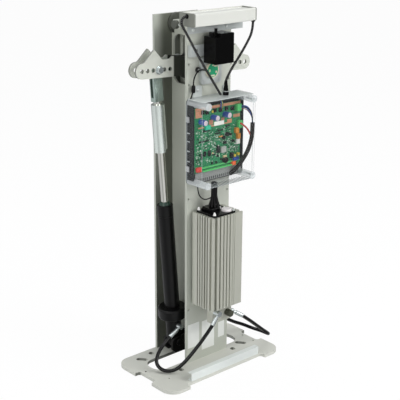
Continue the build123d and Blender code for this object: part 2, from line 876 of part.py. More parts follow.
def cover_screw(x, z):
    head = round_y(pillar_bore - 0.5, cover_front_y + 2, cover_front_y + 8, x, z)
    shank = round_y(2.5, cover_front_y + 8, tray_front_y - 20, x, z)
    return head + shank


def cover_clip(z):
    x = (cover_x[0] - 3, cover_x[0])
    return slab(x, (front_outer_y - tray_wall - 14, front_outer_y - tray_wall), (z - 8, z + 8))


def control_board():
    return slab(board_x, (board_y, board_y + board_thickness), board_z)


def on_board(x, z, height):
    """A block that stands on the front of the control board."""
    return slab(x, (board_y - height, board_y), z)


def terminal_blocks():
    blocks = [
        on_board((-63, 84), (618, 633), 15),
        on_board((57, 78), (770, 800), 13),
        on_board((74, 90), (716, 750), 13),
        on_board((62, 78), (645, 676), 11),
    ]
    return blocks


def capacitors():
    places = ((-61, 764), (-16, 771), (30, 773))
    return [round_y(8, board_y - 22, board_y, x, z) for x, z in places]


def chips():
    places = (
        ((-6, 22), (662, 690), 3),
        ((-50, -30), (690, 712), 5),
        ((-44, -22), (738, 754), 12),
        ((-14, 20), (728, 746), 8),
        ((30, 48), (694, 716), 5),
    )
    return [on_board(x, z, height) for x, z, height in places]


def relays():
    return [on_board((-66 + 17 * i, -53 + 17 * i), (784, 802), 11) for i in range(6)]


def cable_gland():
    x, y = gland_place
    seat = cover_z[1]
    base = Pos(x, y, seat) * extrude(RegularPolygon(gland_radius, 6), 12)
    dome = Pos(x, y, seat + 12) * Cone(gland_radius - 1.5, cable_diameter / 2 + 2, gland_height - 12, align=(Align.CENTER, Align.CENTER, Align.MIN))
    tail = round_z(gland_radius - 4, seat - cover_wall - 6, seat, x, y)
    return base + dome + tail


def grommet():
    x, y = grommet_place
    seat = cover_z[1]
    button = round_z(grommet_radius, seat, seat + grommet_height, x, y)
    button = fillet(button.edges().group_by(Axis.Z)[-1], 2.0)
    return button + round_z(grommet_radius - 3, seat - cover_wall, seat, x, y)


# Power unit.


def tank_profile():
    width = tank_x[1] - tank_x[0]
    depth = tank_y[1] - tank_y[0]
    profile = RectangleRounded(width, depth, tank_corner)
    groove = Rectangle(groove_width, 2 * groove_depth)
    for index in range(front_grooves):
        x = -width / 2 + front_groove_inset + index * front_groove_pitch
        profile -= Pos(x, -depth / 2) * groove
    turned = Rectangle(2 * groove_depth, groove_width)
    for index in range(side_grooves):
        y = (index - (side_grooves - 1) / 2) * side_groove_pitch
        for side in (-1, 1):
            profile -= Pos(side * width / 2, y) * turned
    return profile


def finned_tank():
    """Extruded oil tank: deep fins on three sides, bore for the oil and the motor."""
    width = tank_x[1] - tank_x[0]
    depth = tank_y[1] - tank_y[0]
    height = tank_z[1] - tank_z[0]
    inside = RectangleRounded(width - 2 * tank_wall - groove_depth, depth - 2 * tank_wall - groove_depth, tank_corner / 2)
    place = Pos(sum(tank_x) / 2, sum(tank_y) / 2, tank_z[0])
    return place * (extrude(tank_profile(), height) - Pos(0, 0, tank_floor) * extrude(inside, height))


def tank_lid():
    """Moulded lid plate, with the plug under which the wiring dives in."""
    plate = slab(lid_x, lid_y, (tank_z[1], tank_z[1] + lid_thickness), lid_corner)
    plate = fillet(plate.edges().group_by(Axis.Z)[-1], 1.5)
    wide, deep, high = lid_dome
    x, y = lid_dome_place
    top = tank_z[1] + lid_thickness
    dome = slab((x - wide / 2, x + wide / 2), (y - deep / 2, y + deep / 2), (top, top + high), 10)
    return plate + fillet(dome.edges().group_by(Axis.Z)[-1], 4.0)


def filler_cap():
    top = tank_z[1] + lid_thickness
    cap = round_z(filler_radius, top, top + filler_height, *filler_place)
    return fillet(cap.edges().group_by(Axis.Z)[-1], 2.5)


def lid_screws():
    top = tank_z[1] + lid_thickness
    inset = 7.0
    screws = []
    for x in (lid_x[0] + inset, lid_x[1] - inset):
        for y in (lid_y[0] + inset, lid_y[1] - inset):
            screw = round_z(4.0, top, top + 4, x, y)
            screws.append(screw)
    return screws


def wiring_bundle():
    """Taped bunch of motor leads from the enclosure down to the tank's plug."""
    low = tank_z[1] + lid_thickness + lid_dome[2]
    return round_z(bundle_radius, low, cover_z[0], *bundle_place)


def tank_bracket(height):
    x = sum(tank_x) / 2
    wide, high = tank_bracket_size
    return slab((x - wide / 2, x + wide / 2), (tank_y[1], front_outer_y), (height, height + high), 0)


def pump_block():
    block = slab(pump_x, pump_y, (pump_bottom, tank_z[0]))
    return fillet(block.edges().filter_by(Axis.Z), pump_corner)


def motor():
    """Submerged motor that stands on the tank's floor, above the pump block."""
    x = sum(tank_x) / 2
    y = sum(tank_y) / 2
    seat = tank_z[0] + tank_floor
    can = round_z(motor_radius, seat, seat + motor_height, x, y)
    return fillet(can.edges().group_by(Axis.Z)[-1], 4.0)


def release_knob():
    """Hand wheel of the release valve, with finger flutes round its rim."""
    x, z = knob_place
    face = pump_y[0] - stop_gap
    knob = round_y(knob_radius, face - knob_length, face, x, z)
    knob = fillet(knob.edges().group_by(Axis.Y)[0], 2.0)
    for index in range(knob_lobes):
        angle = radians(360 / knob_lobes * index)
        place = (x + (knob_radius + 1.4) * cos(angle), z + (knob_radius + 1.4) * sin(angle))
        knob -= round_y(2.6, face - knob_length - 1, face - 5, *place)
    return knob


# Hose fittings and cords.


def own_to_column(point):
    return point[0] - column_x, point[1] - column_y, point[2]


def hose_fitting(banjo_start, banjo_end, hose_end):
    """A banjo on its port and the crimped ferrule that grips the hose."""
    banjo = round_y(banjo_radius, banjo_start[1], banjo_end[1], banjo_start[0], banjo_start[2])
    middle = Vector(banjo_start[0], hose_end[1], banjo_start[2])
    end = Vector(*hose_end)
    along = (end - middle).normalized()
    neck = rod_between(middle, middle + along * 18, neck_radius)
    ferrule = rod_between(middle + along * 14, end, ferrule_radius)
    return banjo + neck + ferrule


def pump_fitting(side, route):
    x = -28.0 if side < 0 else pump_x[1] + 12
    end = own_to_column(route[0])
    if side < 0:
        start = (x, pump_y[0], 186.0)
        return hose_fitting(start, (x, end[1] - banjo_half, start[2]), end)
    elbow = Vector(pump_x[1], end[1] + 15, 162.0)
    corner = elbow + Vector(16, 0, 0)
    finish = Vector(*end)
    along = (finish - corner).normalized()
    stub = rod_between(elbow, corner, banjo_radius - 1)
    knee = Pos(*corner) * Sphere(banjo_radius - 1)
    neck = rod_between(corner, corner + along * 16, neck_radius)
    return stub + knee + neck + rod_between(corner + along * 13, finish, ferrule_radius)


def port_fitting(side, route):
    lean = radians(ram_geometry(side)[1])
    x = side * foot_x + port_along * sin(lean)
    z = foot_z + port_along * cos(lean)
    end = own_to_column(route[-1])
    return hose_fitting((x, -foot_neck_radius + port_seat, z), (x, end[1] - banjo_half, z), end)


def corner_radii(route):
    """One radius for each inner point: 0.45 of the shorter run over the tangent of half the turn."""
    points = [Vector(*point) for point in route]
    radii = []
    for before, at, after in zip(points, points[1:], points[2:]):
        run_in = at - before
        run_out = after - at
        half_turn = radians(run_in.get_angle(run_out)) / 2
        radii.append(0.45 * min(run_in.length, run_out.length) / tan(half_turn))
    return radii


def cord(name, route, diameter):
    radii = corner_radii(route)
    path = FilletPolyline(*route, radius=radii)
    section = Plane(path @ 0, z_dir=path % 0) * Circle(diameter / 2)
    tube = sweep(section, path)
    expected = 3.14159265 * diameter ** 2 / 4 * path.length
    print(name, "length", round(path.length), "tightest", round(min(radii), 1), "volume", round(tube.volume / expected, 4))
    save(name, tube, place=(0, 0, 0))


def build():
    save("base_plate", base_plate(), place=(0, 0, 0))
    save("hood_rail", hood_rail())
    save("front_upright", front_upright())
    save("rear_upright", upright(rear_inner_y, rear_outer_y, rear_upright_top))
    save("webs", web(-1), web(1))
    save("stop_bar", stop_bar())
    save("stop_buffers", stop_buffer(-1), stop_buffer(1))
    save("front_bearing", bearing(front_outer_y, -1))
    save("rear_bearing", bearing(rear_outer_y, 1))
    save("main_shaft", main_shaft())
    save("drive_flange", drive_flange())
    save("rocker_front_plate", rocker_plate_solid(-rocker_half))
    save("rocker_rear_plate", rocker_plate_solid(gap_half))
    save("rocker_hub", rocker_hub())
    reaches = (-left_bolt_reach, right_bolt_reach)
    save("link_bolts", *[link_bolt(reach) for reach in reaches], *[link_nut(reach) for reach in reaches])
    save("foot_brackets", foot_bracket(-1), foot_bracket(1))
    save("foot_pins", foot_pin(-1), foot_pin(1))
    save("ram_feet", ram_foot(-1), ram_foot(1))
    save("ram_tubes", ram_tube(-1), ram_tube(1))
    save("ram_glands", ram_gland(-1), ram_gland(1))
    save("ram_wipers", ram_wiper(-1), ram_wiper(1))
    for side, word in ((-1, "left"), (1, "right")):
        save(f"{word}_rod", ram_rod(side), ram_piston(side))
        save(f"{word}_rod_shroud", ram_shroud(side))
        save(f"{word}_clevis", ram_clevis(side))
    save("light_bar", light_bar())
    save("bar_lens", bar_lens())
    save("led_board", led_board())
    save("bar_end_caps", bar_end_cap(-1), bar_end_cap(1))
    save("bar_bracket", bar_bracket())
    save("rear_cap", rear_cap())
    save("mains_box", mains_box(), *[mains_nub(x) for x in mains_nub_x])
    save("mains_bracket", mains_bracket())
    save("encoder_ring", encoder_ring())
    save("encoder_disc", encoder_disc())
    save("enclosure_tray", enclosure_tray())
    save("clear_cover", clear_cover())
    save("cover_fixings", *[cover_screw(x, z) for x, z in pillar_places()], *[cover_clip(z) for z in clip_z])
    save("control_board", control_board())
    save("terminal_blocks", *terminal_blocks())
    save("board_capacitors", *capacitors())
    save("board_chips", *chips(), *relays())
    save("cable_glands", cable_gland(), grommet())
    save("finned_tank", finned_tank())
    save("tank_lid", tank_lid())
    save("filler_cap", filler_cap())
    save("small_screws", *lid_screws(), *[bracket_screw(x) for x in bracket_screw_x])
    save("wiring_bundle", wiring_bundle())
    save("tank_brackets", *[tank_bracket(height) for height in tank_bracket_heights])
    save("pump_block", pump_block())
    save("pump_motor", motor())
    save("release_knob", release_knob())
    sides = ((-1, left_hose_route), (1, right_hose_route))
    fittings = [fitting(side, route) for side, route in sides for fitting in (pump_fitting, port_fitting)]
    save("hose_fittings", *fittings)
    cord("left_hose", left_hose_route, hose_diameter)
    cord("right_hose", right_hose_route, hose_diameter)
    cord("left_light_cable", left_cable_route, cable_diameter)
    cord("right_light_cable", right_cable_route, cable_diameter)
    cord("encoder_lead", encoder_lead_route, encoder_lead_diameter)


build()
for side, word in ((-1, "left"), (1, "right")):
    print(word, "ram length and lean", ram_geometry(side), "link travel", link_travel(side))
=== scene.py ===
import math

import bpy
import numpy as np
from mathutils import Matrix, Vector


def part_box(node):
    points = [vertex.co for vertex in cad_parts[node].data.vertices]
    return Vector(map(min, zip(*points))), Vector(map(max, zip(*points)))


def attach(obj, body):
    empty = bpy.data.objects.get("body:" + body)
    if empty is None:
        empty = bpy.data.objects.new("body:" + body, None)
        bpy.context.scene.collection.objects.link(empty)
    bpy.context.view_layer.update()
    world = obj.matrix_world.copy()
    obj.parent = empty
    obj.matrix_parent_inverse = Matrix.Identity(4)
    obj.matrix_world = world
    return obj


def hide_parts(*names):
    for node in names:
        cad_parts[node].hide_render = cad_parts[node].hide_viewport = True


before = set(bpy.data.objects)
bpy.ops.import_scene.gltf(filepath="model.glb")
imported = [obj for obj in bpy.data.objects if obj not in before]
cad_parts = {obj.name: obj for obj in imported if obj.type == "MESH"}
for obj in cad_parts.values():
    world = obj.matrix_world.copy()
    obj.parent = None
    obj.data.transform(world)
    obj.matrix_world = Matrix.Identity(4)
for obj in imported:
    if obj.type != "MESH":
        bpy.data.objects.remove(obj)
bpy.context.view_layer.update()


# Studio: a pale paper floor that runs out past the picture, a white surround and three wide lamps.
# The paper shows nearly white to the camera, so that only a soft shadow grounds the column. Mirrored in a
# glossy surface, floor and horizon are dim, as they are where black cards stand round a set.

def linear(hex_colour, gain=1.0):
    """sRGB hex to linear: a channel up to 0.04045 is divided by 12.92. Above that, 0.055 is added, the sum is
    divided by 1.055 and raised to the power 2.4."""
    code = hex_colour.lstrip("#")
    channels = np.array([int(code[i:i + 2], 16) for i in (0, 2, 4)]) / 255
    bright = np.where(channels <= 0.04045, channels / 12.92, ((channels + 0.055) / 1.055) ** 2.4)
    return (*np.clip(bright * gain, 0, 1).tolist(), 1.0)


def add(tree, kind, inputs=(), **properties):
    """Adds one node: properties are set by name, and each input is linked to a socket or set to a value."""
    node = tree.nodes.new("ShaderNode" + kind)
    for name, value in properties.items():
        setattr(node, name, value)
    for name, value in dict(inputs).items():
        if isinstance(value, bpy.types.NodeSocket):
            tree.links.new(value, node.inputs[name])
        else:
            node.inputs[name].default_value = value
    return node


def sectors(tree, direction, low, high):
    """Bright and dim cards round the set, by the azimuth of a direction or place: a sine with three waves to
    the turn, plus 0.9 of a sine with one wave that is brightest on the left."""
    azimuth = add(tree, "Math", {0: direction.outputs[1], 1: direction.outputs[0]}, operation="ARCTAN2")
    waves = []
    for count, phase in ((3.0, 0.9), (1.0, -1.2)):
        angle = add(tree, "Math", {0: azimuth.outputs[0], 1: count, 2: phase}, operation="MULTIPLY_ADD")
        waves.append(add(tree, "Math", {0: angle.outputs[0]}, operation="SINE").outputs[0])
    both = add(tree, "Math", {0: waves[1], 1: 0.9, 2: waves[0]}, operation="MULTIPLY_ADD")
    return add(
        tree,
        "MapRange",
        {"Value": both.outputs[0], "From Min": -0.8, "From Max": 0.6, "To Min": low, "To Max": high},
    )


surround = bpy.data.worlds.new("white_surround")
surround.use_nodes = True
world_tree = surround.node_tree
world_tree.nodes.clear()
bpy.context.scene.world = surround
rays = add(world_tree, "LightPath")
through = add(
    world_tree,
    "Math",
    {0: rays.outputs["Is Camera Ray"], 1: rays.outputs["Is Transmission Ray"]},
    operation="MAXIMUM",
)
sky = add(world_tree, "Background", {"Color": linear("#F4F6FA"), "Strength": 0.56})
direction = add(world_tree, "SeparateXYZ", {0: add(world_tree, "TexCoord").outputs["Generated"]})
rise = add(
    world_tree,
    "MapRange",
    {"Value": direction.outputs[2], "From Min": -0.25, "From Max": 0.6, "To Min": 0.40, "To Max": 1.0},
)
cards = sectors(world_tree, direction, 0.25, 1.0)
card_light = add(world_tree, "Math", {0: rise.outputs[0], 1: cards.outputs[0]}, operation="MULTIPLY")
mirrored = add(world_tree, "Background", {"Color": (1, 1, 1, 1), "Strength": card_light.outputs[0]})
backdrop = add(world_tree, "Background", {"Color": (1, 1, 1, 1), "Strength": 1.0})
glossy = rays.outputs["Is Glossy Ray"]
lit = add(world_tree, "MixShader", {0: glossy, 1: sky.outputs[0], 2: mirrored.outputs[0]})
mixed = add(world_tree, "MixShader", {0: through.outputs[0], 1: lit.outputs[0], 2: backdrop.outputs[0]})
add(world_tree, "OutputWorld", {"Surface": mixed.outputs[0]})

lamps = (
    ("key_lamp", (1.5, -2.7, 2.3), 2.0, 74),
    ("left_lamp", (-2.9, -0.9, 1.5), 1.8, 25),
    ("top_lamp", (0.2, 0.9, 3.2), 2.2, 30),
)
for name, place, size, power in lamps:
    lamp = bpy.data.lights.new(name, "AREA")
    lamp.size = size
    lamp.energy = power
    holder = bpy.data.objects.new(name, lamp)
    holder.location = place
    holder.rotation_euler = (Vector((0, 0, 0.5)) - Vector(place)).to_track_quat("-Z", "Y").to_euler()
    bpy.context.scene.collection.objects.link(holder)

floor_half = 12.0
floor_mesh = bpy.data.meshes.new("paper_floor")
floor_corners = [(x * floor_half, y * floor_half, 0) for x, y in ((-1, -1), (1, -1), (1, 1), (-1, 1))]
floor_mesh.from_pydata(floor_corners, [], [(0, 1, 2, 3)])
floor = bpy.data.objects.new("paper_floor", floor_mesh)
bpy.context.scene.collection.objects.link(floor)
paper = bpy.data.materials.new("matt_paper")
paper.use_nodes = True
paper_tree = paper.node_tree
paper_tree.nodes.clear()
paper_rays = add(paper_tree, "LightPath")
paper_place = add(paper_tree, "SeparateXYZ", {0: add(paper_tree, "NewGeometry").outputs["Position"]})
paper_cards = sectors(paper_tree, paper_place, -0.72, -0.10)
paper_tone = add(
    paper_tree,
    "Math",
    {0: paper_rays.outputs["Is Glossy Ray"], 1: paper_cards.outputs[0], 2: 0.92},
    operation="MULTIPLY_ADD",
)
paper_lit = add(paper_tree, "BsdfDiffuse", {"Color": paper_tone.outputs[0]})
paper_glow = add(paper_tree, "Emission", {"Color": (1, 1, 1, 1), "Strength": 1.0})
paper_share = add(
    paper_tree, "Math", {0: paper_rays.outputs["Is Camera Ray"], 1: 0.95}, operation="MULTIPLY"
)
paper_mix = add(
    paper_tree, "MixShader", {0: paper_share.outputs[0], 1: paper_lit.outputs[0], 2: paper_glow.outputs[0]}
)
add(paper_tree, "OutputMaterial", {"Surface": paper_mix.outputs[0]})
floor.data.materials.append(paper)


# Camera: it stands off the column's front left, above the middle of its height, and looks down.
# Its place, lens and angles are those of the picture, found from the corners of the steel plates.
camera_place = Vector((-1.8204, -2.0798, 1.4016))
camera_yaw = math.radians(41.64)
camera_pitch = math.radians(17.99)
camera_roll = math.radians(0.31)
ahead = Vector((
    math.sin(camera_yaw) * math.cos(camera_pitch),
    math.cos(camera_yaw) * math.cos(camera_pitch),
    -math.sin(camera_pitch),
))
level = Vector((math.cos(camera_yaw), -math.sin(camera_yaw), 0))
above = level.cross(ahead)
across = level * math.cos(camera_roll) + above * math.sin(camera_roll)
upward = above * math.cos(camera_roll) - level * math.sin(camera_roll)
camera = bpy.data.cameras.new("camera")
camera.lens = 88.33
camera.sensor_width = 36
camera_holder = bpy.data.objects.new("camera", camera)
camera_holder.matrix_world = (
    Matrix.Translation(camera_place) @ Matrix((across, upward, -ahead)).transposed().to_4x4()
)
bpy.context.scene.collection.objects.link(camera_holder)
bpy.context.scene.camera = camera_holder
bpy.context.scene.view_settings.view_transform = "Standard"


# Hoses: two braided rubber hoses from the pump to the rams' feet, crimped in ferrules at both ends.
# A glossy nitrile cover over the wire braid shows as fine slanted ridges and a long highlight.

def grained(name, colour, drift, grain, depth, roughness, metallic=0.0, stretch=(1, 1, 1), specular=0.5):
    """A finish on Object coordinates. Its colour drifts by that share either way over some 70 mm, and a grain
    of that size in metres, drawn out by stretch, roughens it by depth metres."""
    finish = bpy.data.materials.new(name)
    finish.use_nodes = True
    tree = finish.node_tree
    tree.nodes.clear()
    own = add(tree, "TexCoord").outputs["Object"]
    cloud = add(tree, "TexNoise", {"Vector": own, "Scale": 14.0, "Detail": 3.0})
    # A Mix node's colour sockets are 6 and 7, because its number sockets have the same names.
    shades = {0: cloud.outputs[0], 6: linear(colour, 1 - drift), 7: linear(colour, 1 + drift)}
    toned = add(tree, "Mix", shades, data_type="RGBA")
    drawn = add(tree, "Mapping", {"Vector": own, "Scale": tuple(1 / s for s in stretch)})
    speck = add(tree, "TexNoise", {"Vector": drawn.outputs[0], "Scale": 1 / grain, "Detail": 2.0})
    bump = add(tree, "Bump", {"Height": speck.outputs[0], "Distance": depth, "Strength": 1.0})
    worn = add(
        tree,
        "MapRange",
        {"Value": speck.outputs[0], "To Min": roughness * 0.85, "To Max": min(1.0, roughness * 1.15)},
    )
    shader = add(
        tree,
        "BsdfPrincipled",
        {
            "Base Color": toned.outputs[2],
            "Roughness": worn.outputs[0],
            "Metallic": metallic,
            "Specular IOR Level": specular,
            "Normal": bump.outputs[0],
        },
    )
    shader.name = "shader"
    add(tree, "OutputMaterial", {"Surface": shader.outputs[0]}).name = "output"
    return finish


def spline_points(name, route):
    """Points along the NURBS spline of order 3 that has the route as its control points."""
    curve = bpy.data.curves.new(name + "_line", "CURVE")
    curve.dimensions = "3D"
    spline = curve.splines.new("NURBS")
    spline.points.add(len(route) - 1)
    spline.points.foreach_set("co", [value for point in route for value in (*point, 1.0)])
    spline.order_u = 3
    spline.use_endpoint_u = True
    spline.resolution_u = 14
    holder = bpy.data.objects.new(name + "_line", curve)
    bpy.context.scene.collection.objects.link(holder)
    line = bpy.data.meshes.new_from_object(holder)
    points = np.empty(len(line.vertices) * 3)
    line.vertices.foreach_get("co", points)
    bpy.data.objects.remove(holder)
    bpy.data.curves.remove(curve)
    bpy.data.meshes.remove(line)
    return points.reshape(-1, 3)


def carried(path, radius, sides=20):
    """A round section of that radius, one for all points or one each, carried square to a path. The section's
    first direction is the cross product of the path's run and the direction that the path spans least."""
    run = np.gradient(path, axis=0)
    run /= np.linalg.norm(run, axis=1)[:, None]
    least = np.linalg.svd(path - path.mean(axis=0))[2][2]
    first = np.cross(run, least)
    first /= np.linalg.norm(first, axis=1)[:, None]
    second = np.cross(run, first)
    turn = np.linspace(0, 2 * np.pi, sides, endpoint=False)
    spread = np.broadcast_to(np.asarray(radius, float), len(path))[:, None, None]
    circle = first[:, None] * np.cos(turn)[None, :, None] + second[:, None] * np.sin(turn)[None, :, None]
    return path[:, None] + spread * circle


def piece(name, grids, finish, body, crease=40):
    """One object from grids of points: rows run along each form, columns close round it, and flat caps end
    it. A form whose enclosed volume comes out negative is turned, so that all faces point outwards."""
    corners, faces, places = [], [], []
    for grid in grids:
        rows, columns = grid.shape[:2]
        index = np.arange(rows * columns).reshape(rows, columns)
        beside = np.roll(index, -1, axis=1)
        quads = np.stack([index[:-1], beside[:-1], beside[1:], index[1:]], axis=-1).reshape(-1, 4)
        flat = grid.reshape(-1, 3)
        a, b, c, d = (flat[quads[:, i]] - flat.mean(axis=0) for i in range(4))
        volume = np.einsum("ij,ij->", a, np.cross(b, c)) + np.einsum("ij,ij->", a, np.cross(c, d))
        run = np.linalg.norm(np.diff(grid.mean(axis=1), axis=0), axis=1)
        along = np.concatenate([[0], np.cumsum(run)])
        row, column = np.divmod(np.arange((rows - 1) * columns), columns)
        u = along[np.stack([row, row, row + 1, row + 1], axis=-1)]
        v = np.stack([column, column + 1, column + 1, column], axis=-1) / columns
        caps = [index[0][::-1].tolist(), index[-1].tolist()]
        sheets = quads.tolist() + caps
        spots = np.stack([u, v], axis=-1).tolist() + [[(0.0, 0.0)] * columns] * 2
        if volume < 0:
            sheets = [sheet[::-1] for sheet in sheets]
            spots = [spot[::-1] for spot in spots]
        start = sum(len(block) for block in corners)
        corners.append(flat)
        faces += [[start + corner for corner in sheet] for sheet in sheets]
        places += spots
    mesh = bpy.data.meshes.new(name)
    mesh.from_pydata(np.concatenate(corners).tolist(), [], faces)
    layer = mesh.uv_layers.new(name="along_and_round")
    layer.data.foreach_set("uv", [value for spot in places for pair in spot for value in pair])
    mesh.shade_smooth()
    mesh.set_sharp_from_angle(angle=math.radians(crease))
    mesh.materials.append(finish)
    made = bpy.data.objects.new(name, mesh)
    bpy.context.scene.collection.objects.link(made)
    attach(made, body)
    return made


def ridged(finish, pitch, lines, depth, lift=0.0):
    """Adds slanted ridges to a finish for tubes: a sine of the length over the pitch plus whole turns round
    the tube, read from the tube's own UV map. lift brightens the crests of the ridges."""
    tree = finish.node_tree
    shader = tree.nodes["shader"]
    spread = add(tree, "SeparateXYZ", {0: add(tree, "UVMap").outputs[0]})
    runs = add(tree, "Math", {0: spread.outputs[0], 1: 2 * math.pi / pitch}, operation="MULTIPLY")
    turns = add(tree, "Math", {0: spread.outputs[1], 1: 2 * math.pi * lines}, operation="MULTIPLY")
    phase = add(tree, "Math", {0: runs.outputs[0], 1: turns.outputs[0]}, operation="ADD")
    wave = add(tree, "Math", {0: phase.outputs[0]}, operation="SINE")
    old = shader.inputs["Normal"].links[0].from_socket
    bump = add(tree, "Bump", {"Height": wave.outputs[0], "Distance": depth, "Normal": old})
    tree.links.new(bump.outputs[0], shader.inputs["Normal"])
    if lift:
        tone = shader.inputs["Base Color"].links[0].from_socket
        crest = add(tree, "MapRange", {"Value": wave.outputs[0], "From Min": 0.7, "From Max": 1.0})
        fleck = {0: crest.outputs[0], 6: tone, 7: linear("#FFFFFF", lift)}
        bright = add(tree, "Mix", fleck, data_type="RGBA")
        tree.links.new(bright.outputs[2], shader.inputs["Base Color"])
    return finish


# Nitrile rubber is near black and a little glossy; the braid's ridges are 3.5 mm apart.
hose_rubber = ridged(
    grained("braided_nitrile_hose", "#030303", 0.15, 0.0006, 0.000002, 0.10, specular=0.3),
    pitch=0.0035,
    lines=3,
    depth=0.00005,
)
hose_radius = 0.0055
hose_routes = {
    "left_hose": (
        (-0.0385, -0.1335, 0.156), (-0.0575, -0.1195, 0.117), (-0.0825, -0.1055, 0.079),
        (-0.1105, -0.0945, 0.046), (-0.1375, -0.0805, 0.0205), (-0.1625, -0.0565, 0.0175),
        (-0.1715, -0.0315, 0.034), (-0.155, -0.019, 0.057), (-0.126, -0.014, 0.08),
        (-0.0975, -0.0095, 0.092),
    ),
    "right_hose": (
        (0.0985, -0.1185, 0.142), (0.13, -0.1145, 0.1175), (0.166, -0.11, 0.088),
        (0.206, -0.0995, 0.0555), (0.2425, -0.0915, 0.027), (0.2655, -0.0695, 0.01),
        (0.2665, -0.0365, 0.0085), (0.2445, -0.0145, 0.018), (0.2035, -0.0095, 0.043),
        (0.1615, -0.0105, 0.0645), (0.1215, -0.0095, 0.092),
    ),
}
for name, route in hose_routes.items():
    path = spline_points(name, route)
    hose = piece(name + "_tube", [carried(path, hose_radius)], hose_rubber, "frame")
    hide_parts(name)


# Light cables: sleeved leads from the light bar down to the enclosure, one at each end of the bar.
# A woven polyester sleeve makes fine pale flecks, 4.2 mm apart, on near black.
sleeve_weave = ridged(
    grained("woven_polyester_sleeve", "#050505", 0.2, 0.0008, 0.00005, 0.42, specular=0.2),
    pitch=0.0042,
    lines=1,
    depth=0.0003,
    lift=0.16,
)
cable_radius = 0.0035
cable_routes = {
    "left_light_cable": (
        (-0.0995, -0.0885, 1.06), (-0.109, -0.0885, 1.06), (-0.1175, -0.0885, 1.053),
        (-0.1195, -0.0885, 1.041), (-0.112, -0.0885, 1.029), (-0.096, -0.0885, 1.007),
        (-0.065, -0.0885, 0.958), (-0.019, -0.0885, 0.893), (0.0255, -0.0885, 0.832),
    ),
    "right_light_cable": (
        (0.1225, -0.1135, 1.0326), (0.1225, -0.1125, 1.004), (0.1085, -0.1075, 0.974),
        (0.0865, -0.0995, 0.936), (0.0575, -0.0895, 0.893), (0.0475, -0.086, 0.868),
    ),
}
for name, route in cable_routes.items():
    path = spline_points(name, route)
    cable = piece(name + "_tube", [carried(path, cable_radius, 14)], sleeve_weave, "frame")
    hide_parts(name)


# Encoder lead: a thin black PVC lead from the encoder, looped past the upright to the enclosure's top.
# Smooth soft PVC: black with a broad soft highlight. A round coupling joins it just above the enclosure.
lead_jacket = grained("soft_pvc_lead", "#060606", 0.1, 0.0008, 0.00001, 0.35, specular=0.2)
lead_radius = 0.002
lead_route = (
    (-0.0125, -0.0675, 0.902), (-0.031, -0.0645, 0.908), (-0.047, -0.0625, 0.893),
    (-0.055, -0.0625, 0.871), (-0.05, -0.0625, 0.853), (-0.064, -0.0625, 0.827),
)
lead_path = spline_points("encoder_lead", lead_route)
lead = piece("encoder_lead_tube", [carried(lead_path, lead_radius, 12)], lead_jacket, "frame")
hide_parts("encoder_lead")
coupling_line = np.array([
    (-0.0530, -0.0625, 0.864), (-0.0532, -0.0625, 0.861), (-0.0538, -0.0625, 0.846), (-0.054, -0.0625, 0.843),
])
coupling_radii = np.array([0.0042, 0.0058, 0.0058, 0.0042])
coupling = piece(
    "lead_coupling", [carried(coupling_line, coupling_radii, 16)], lead_jacket, "frame"
)


# Base plate: 10 mm laser-cut steel, pale grey powder coat with a fine orange-peel skin.
# The coat is satin, so it drifts a little in tone. The front-facing walls of its openings carry painted
# shade.

def dress(finish, *names):
    """Gives CAD nodes their finish, in every material slot."""
    for name in names:
        for own_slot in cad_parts[name].material_slots:
            own_slot.material = finish


def shaded(finish, dark, *spans, facing=None):
    """Paints shade into a finish by mixing in a dark tone. Each span gives a place's axis, where the tone is
    full and where it ends, and spans multiply. facing gives an axis and a sign, and keeps the tone to faces
    turned that way."""
    tree = finish.node_tree
    place = add(tree, "SeparateXYZ", {0: add(tree, "TexCoord").outputs["Object"]})
    share = None
    steps = [(place.outputs[axis], full, end) for axis, full, end in spans]
    if facing:
        axis, sign = facing
        look = add(tree, "SeparateXYZ", {0: add(tree, "NewGeometry").outputs["Normal"]})
        steps.append((look.outputs[axis], 0.8 * sign, 0.3 * sign))
    for value, full, end in steps:
        ramp = {"Value": value, "From Min": end, "From Max": full}
        part = add(tree, "MapRange", ramp, interpolation_type="SMOOTHSTEP")
        if share is None:
            share = part.outputs[0]
        else:
            share = add(tree, "Math", {0: share, 1: part.outputs[0]}, operation="MULTIPLY").outputs[0]
    shader = tree.nodes["shader"]
    tone = shader.inputs["Base Color"].links[0].from_socket
    mix = add(tree, "Mix", {0: share, 6: tone, 7: linear(dark)}, data_type="RGBA")
    tree.links.new(mix.outputs[2], shader.inputs["Base Color"])


base_coat = grained("powder_coat_pale", "#CACBC2", 0.02, 0.0012, 0.00002, 0.42)
shaded(base_coat, "#6A6C64", (1, -0.062, -0.080), facing=(1, -1))
dress(base_coat, "base_plate")


# Hood channel: zinc-plated folded steel screwed along the base's front edge.
# Bright zinc passivate: bluish white, satin, with faint rolling lines along X.
channel_zinc = grained("bright_zinc_sheet", "#E0E5E1", 0.03, 0.0015, 0.000010, 0.36, 0.2, (12, 1, 1))
dress(channel_zinc, "hood_rail")


# Uprights: two 8 mm plates that stand on the base, the front one a little lower than the rear one.
# The same coat as the base. Shade is painted on the rear plate's face into the column: darker towards the
# floor, and darker again towards the column's middle.
front_coat = grained("powder_coat_front", "#BABDB2", 0.025, 0.0012, 0.00002, 0.45)
rear_coat = grained("powder_coat_rear", "#B6B9AF", 0.04, 0.0012, 0.00002, 0.42)
shaded(rear_coat, "#5A5D54", (2, 0.25, 0.95), facing=(1, -1))
shaded(rear_coat, "#63665B", (0, -0.030, -0.066), facing=(1, -1))
dress(front_coat, "front_upright", "stop_bar")
dress(rear_coat, "rear_upright")


# Rating plates: three blank anodised plates stuck low on the front upright.
# Satin white anodising, with nothing printed on them.

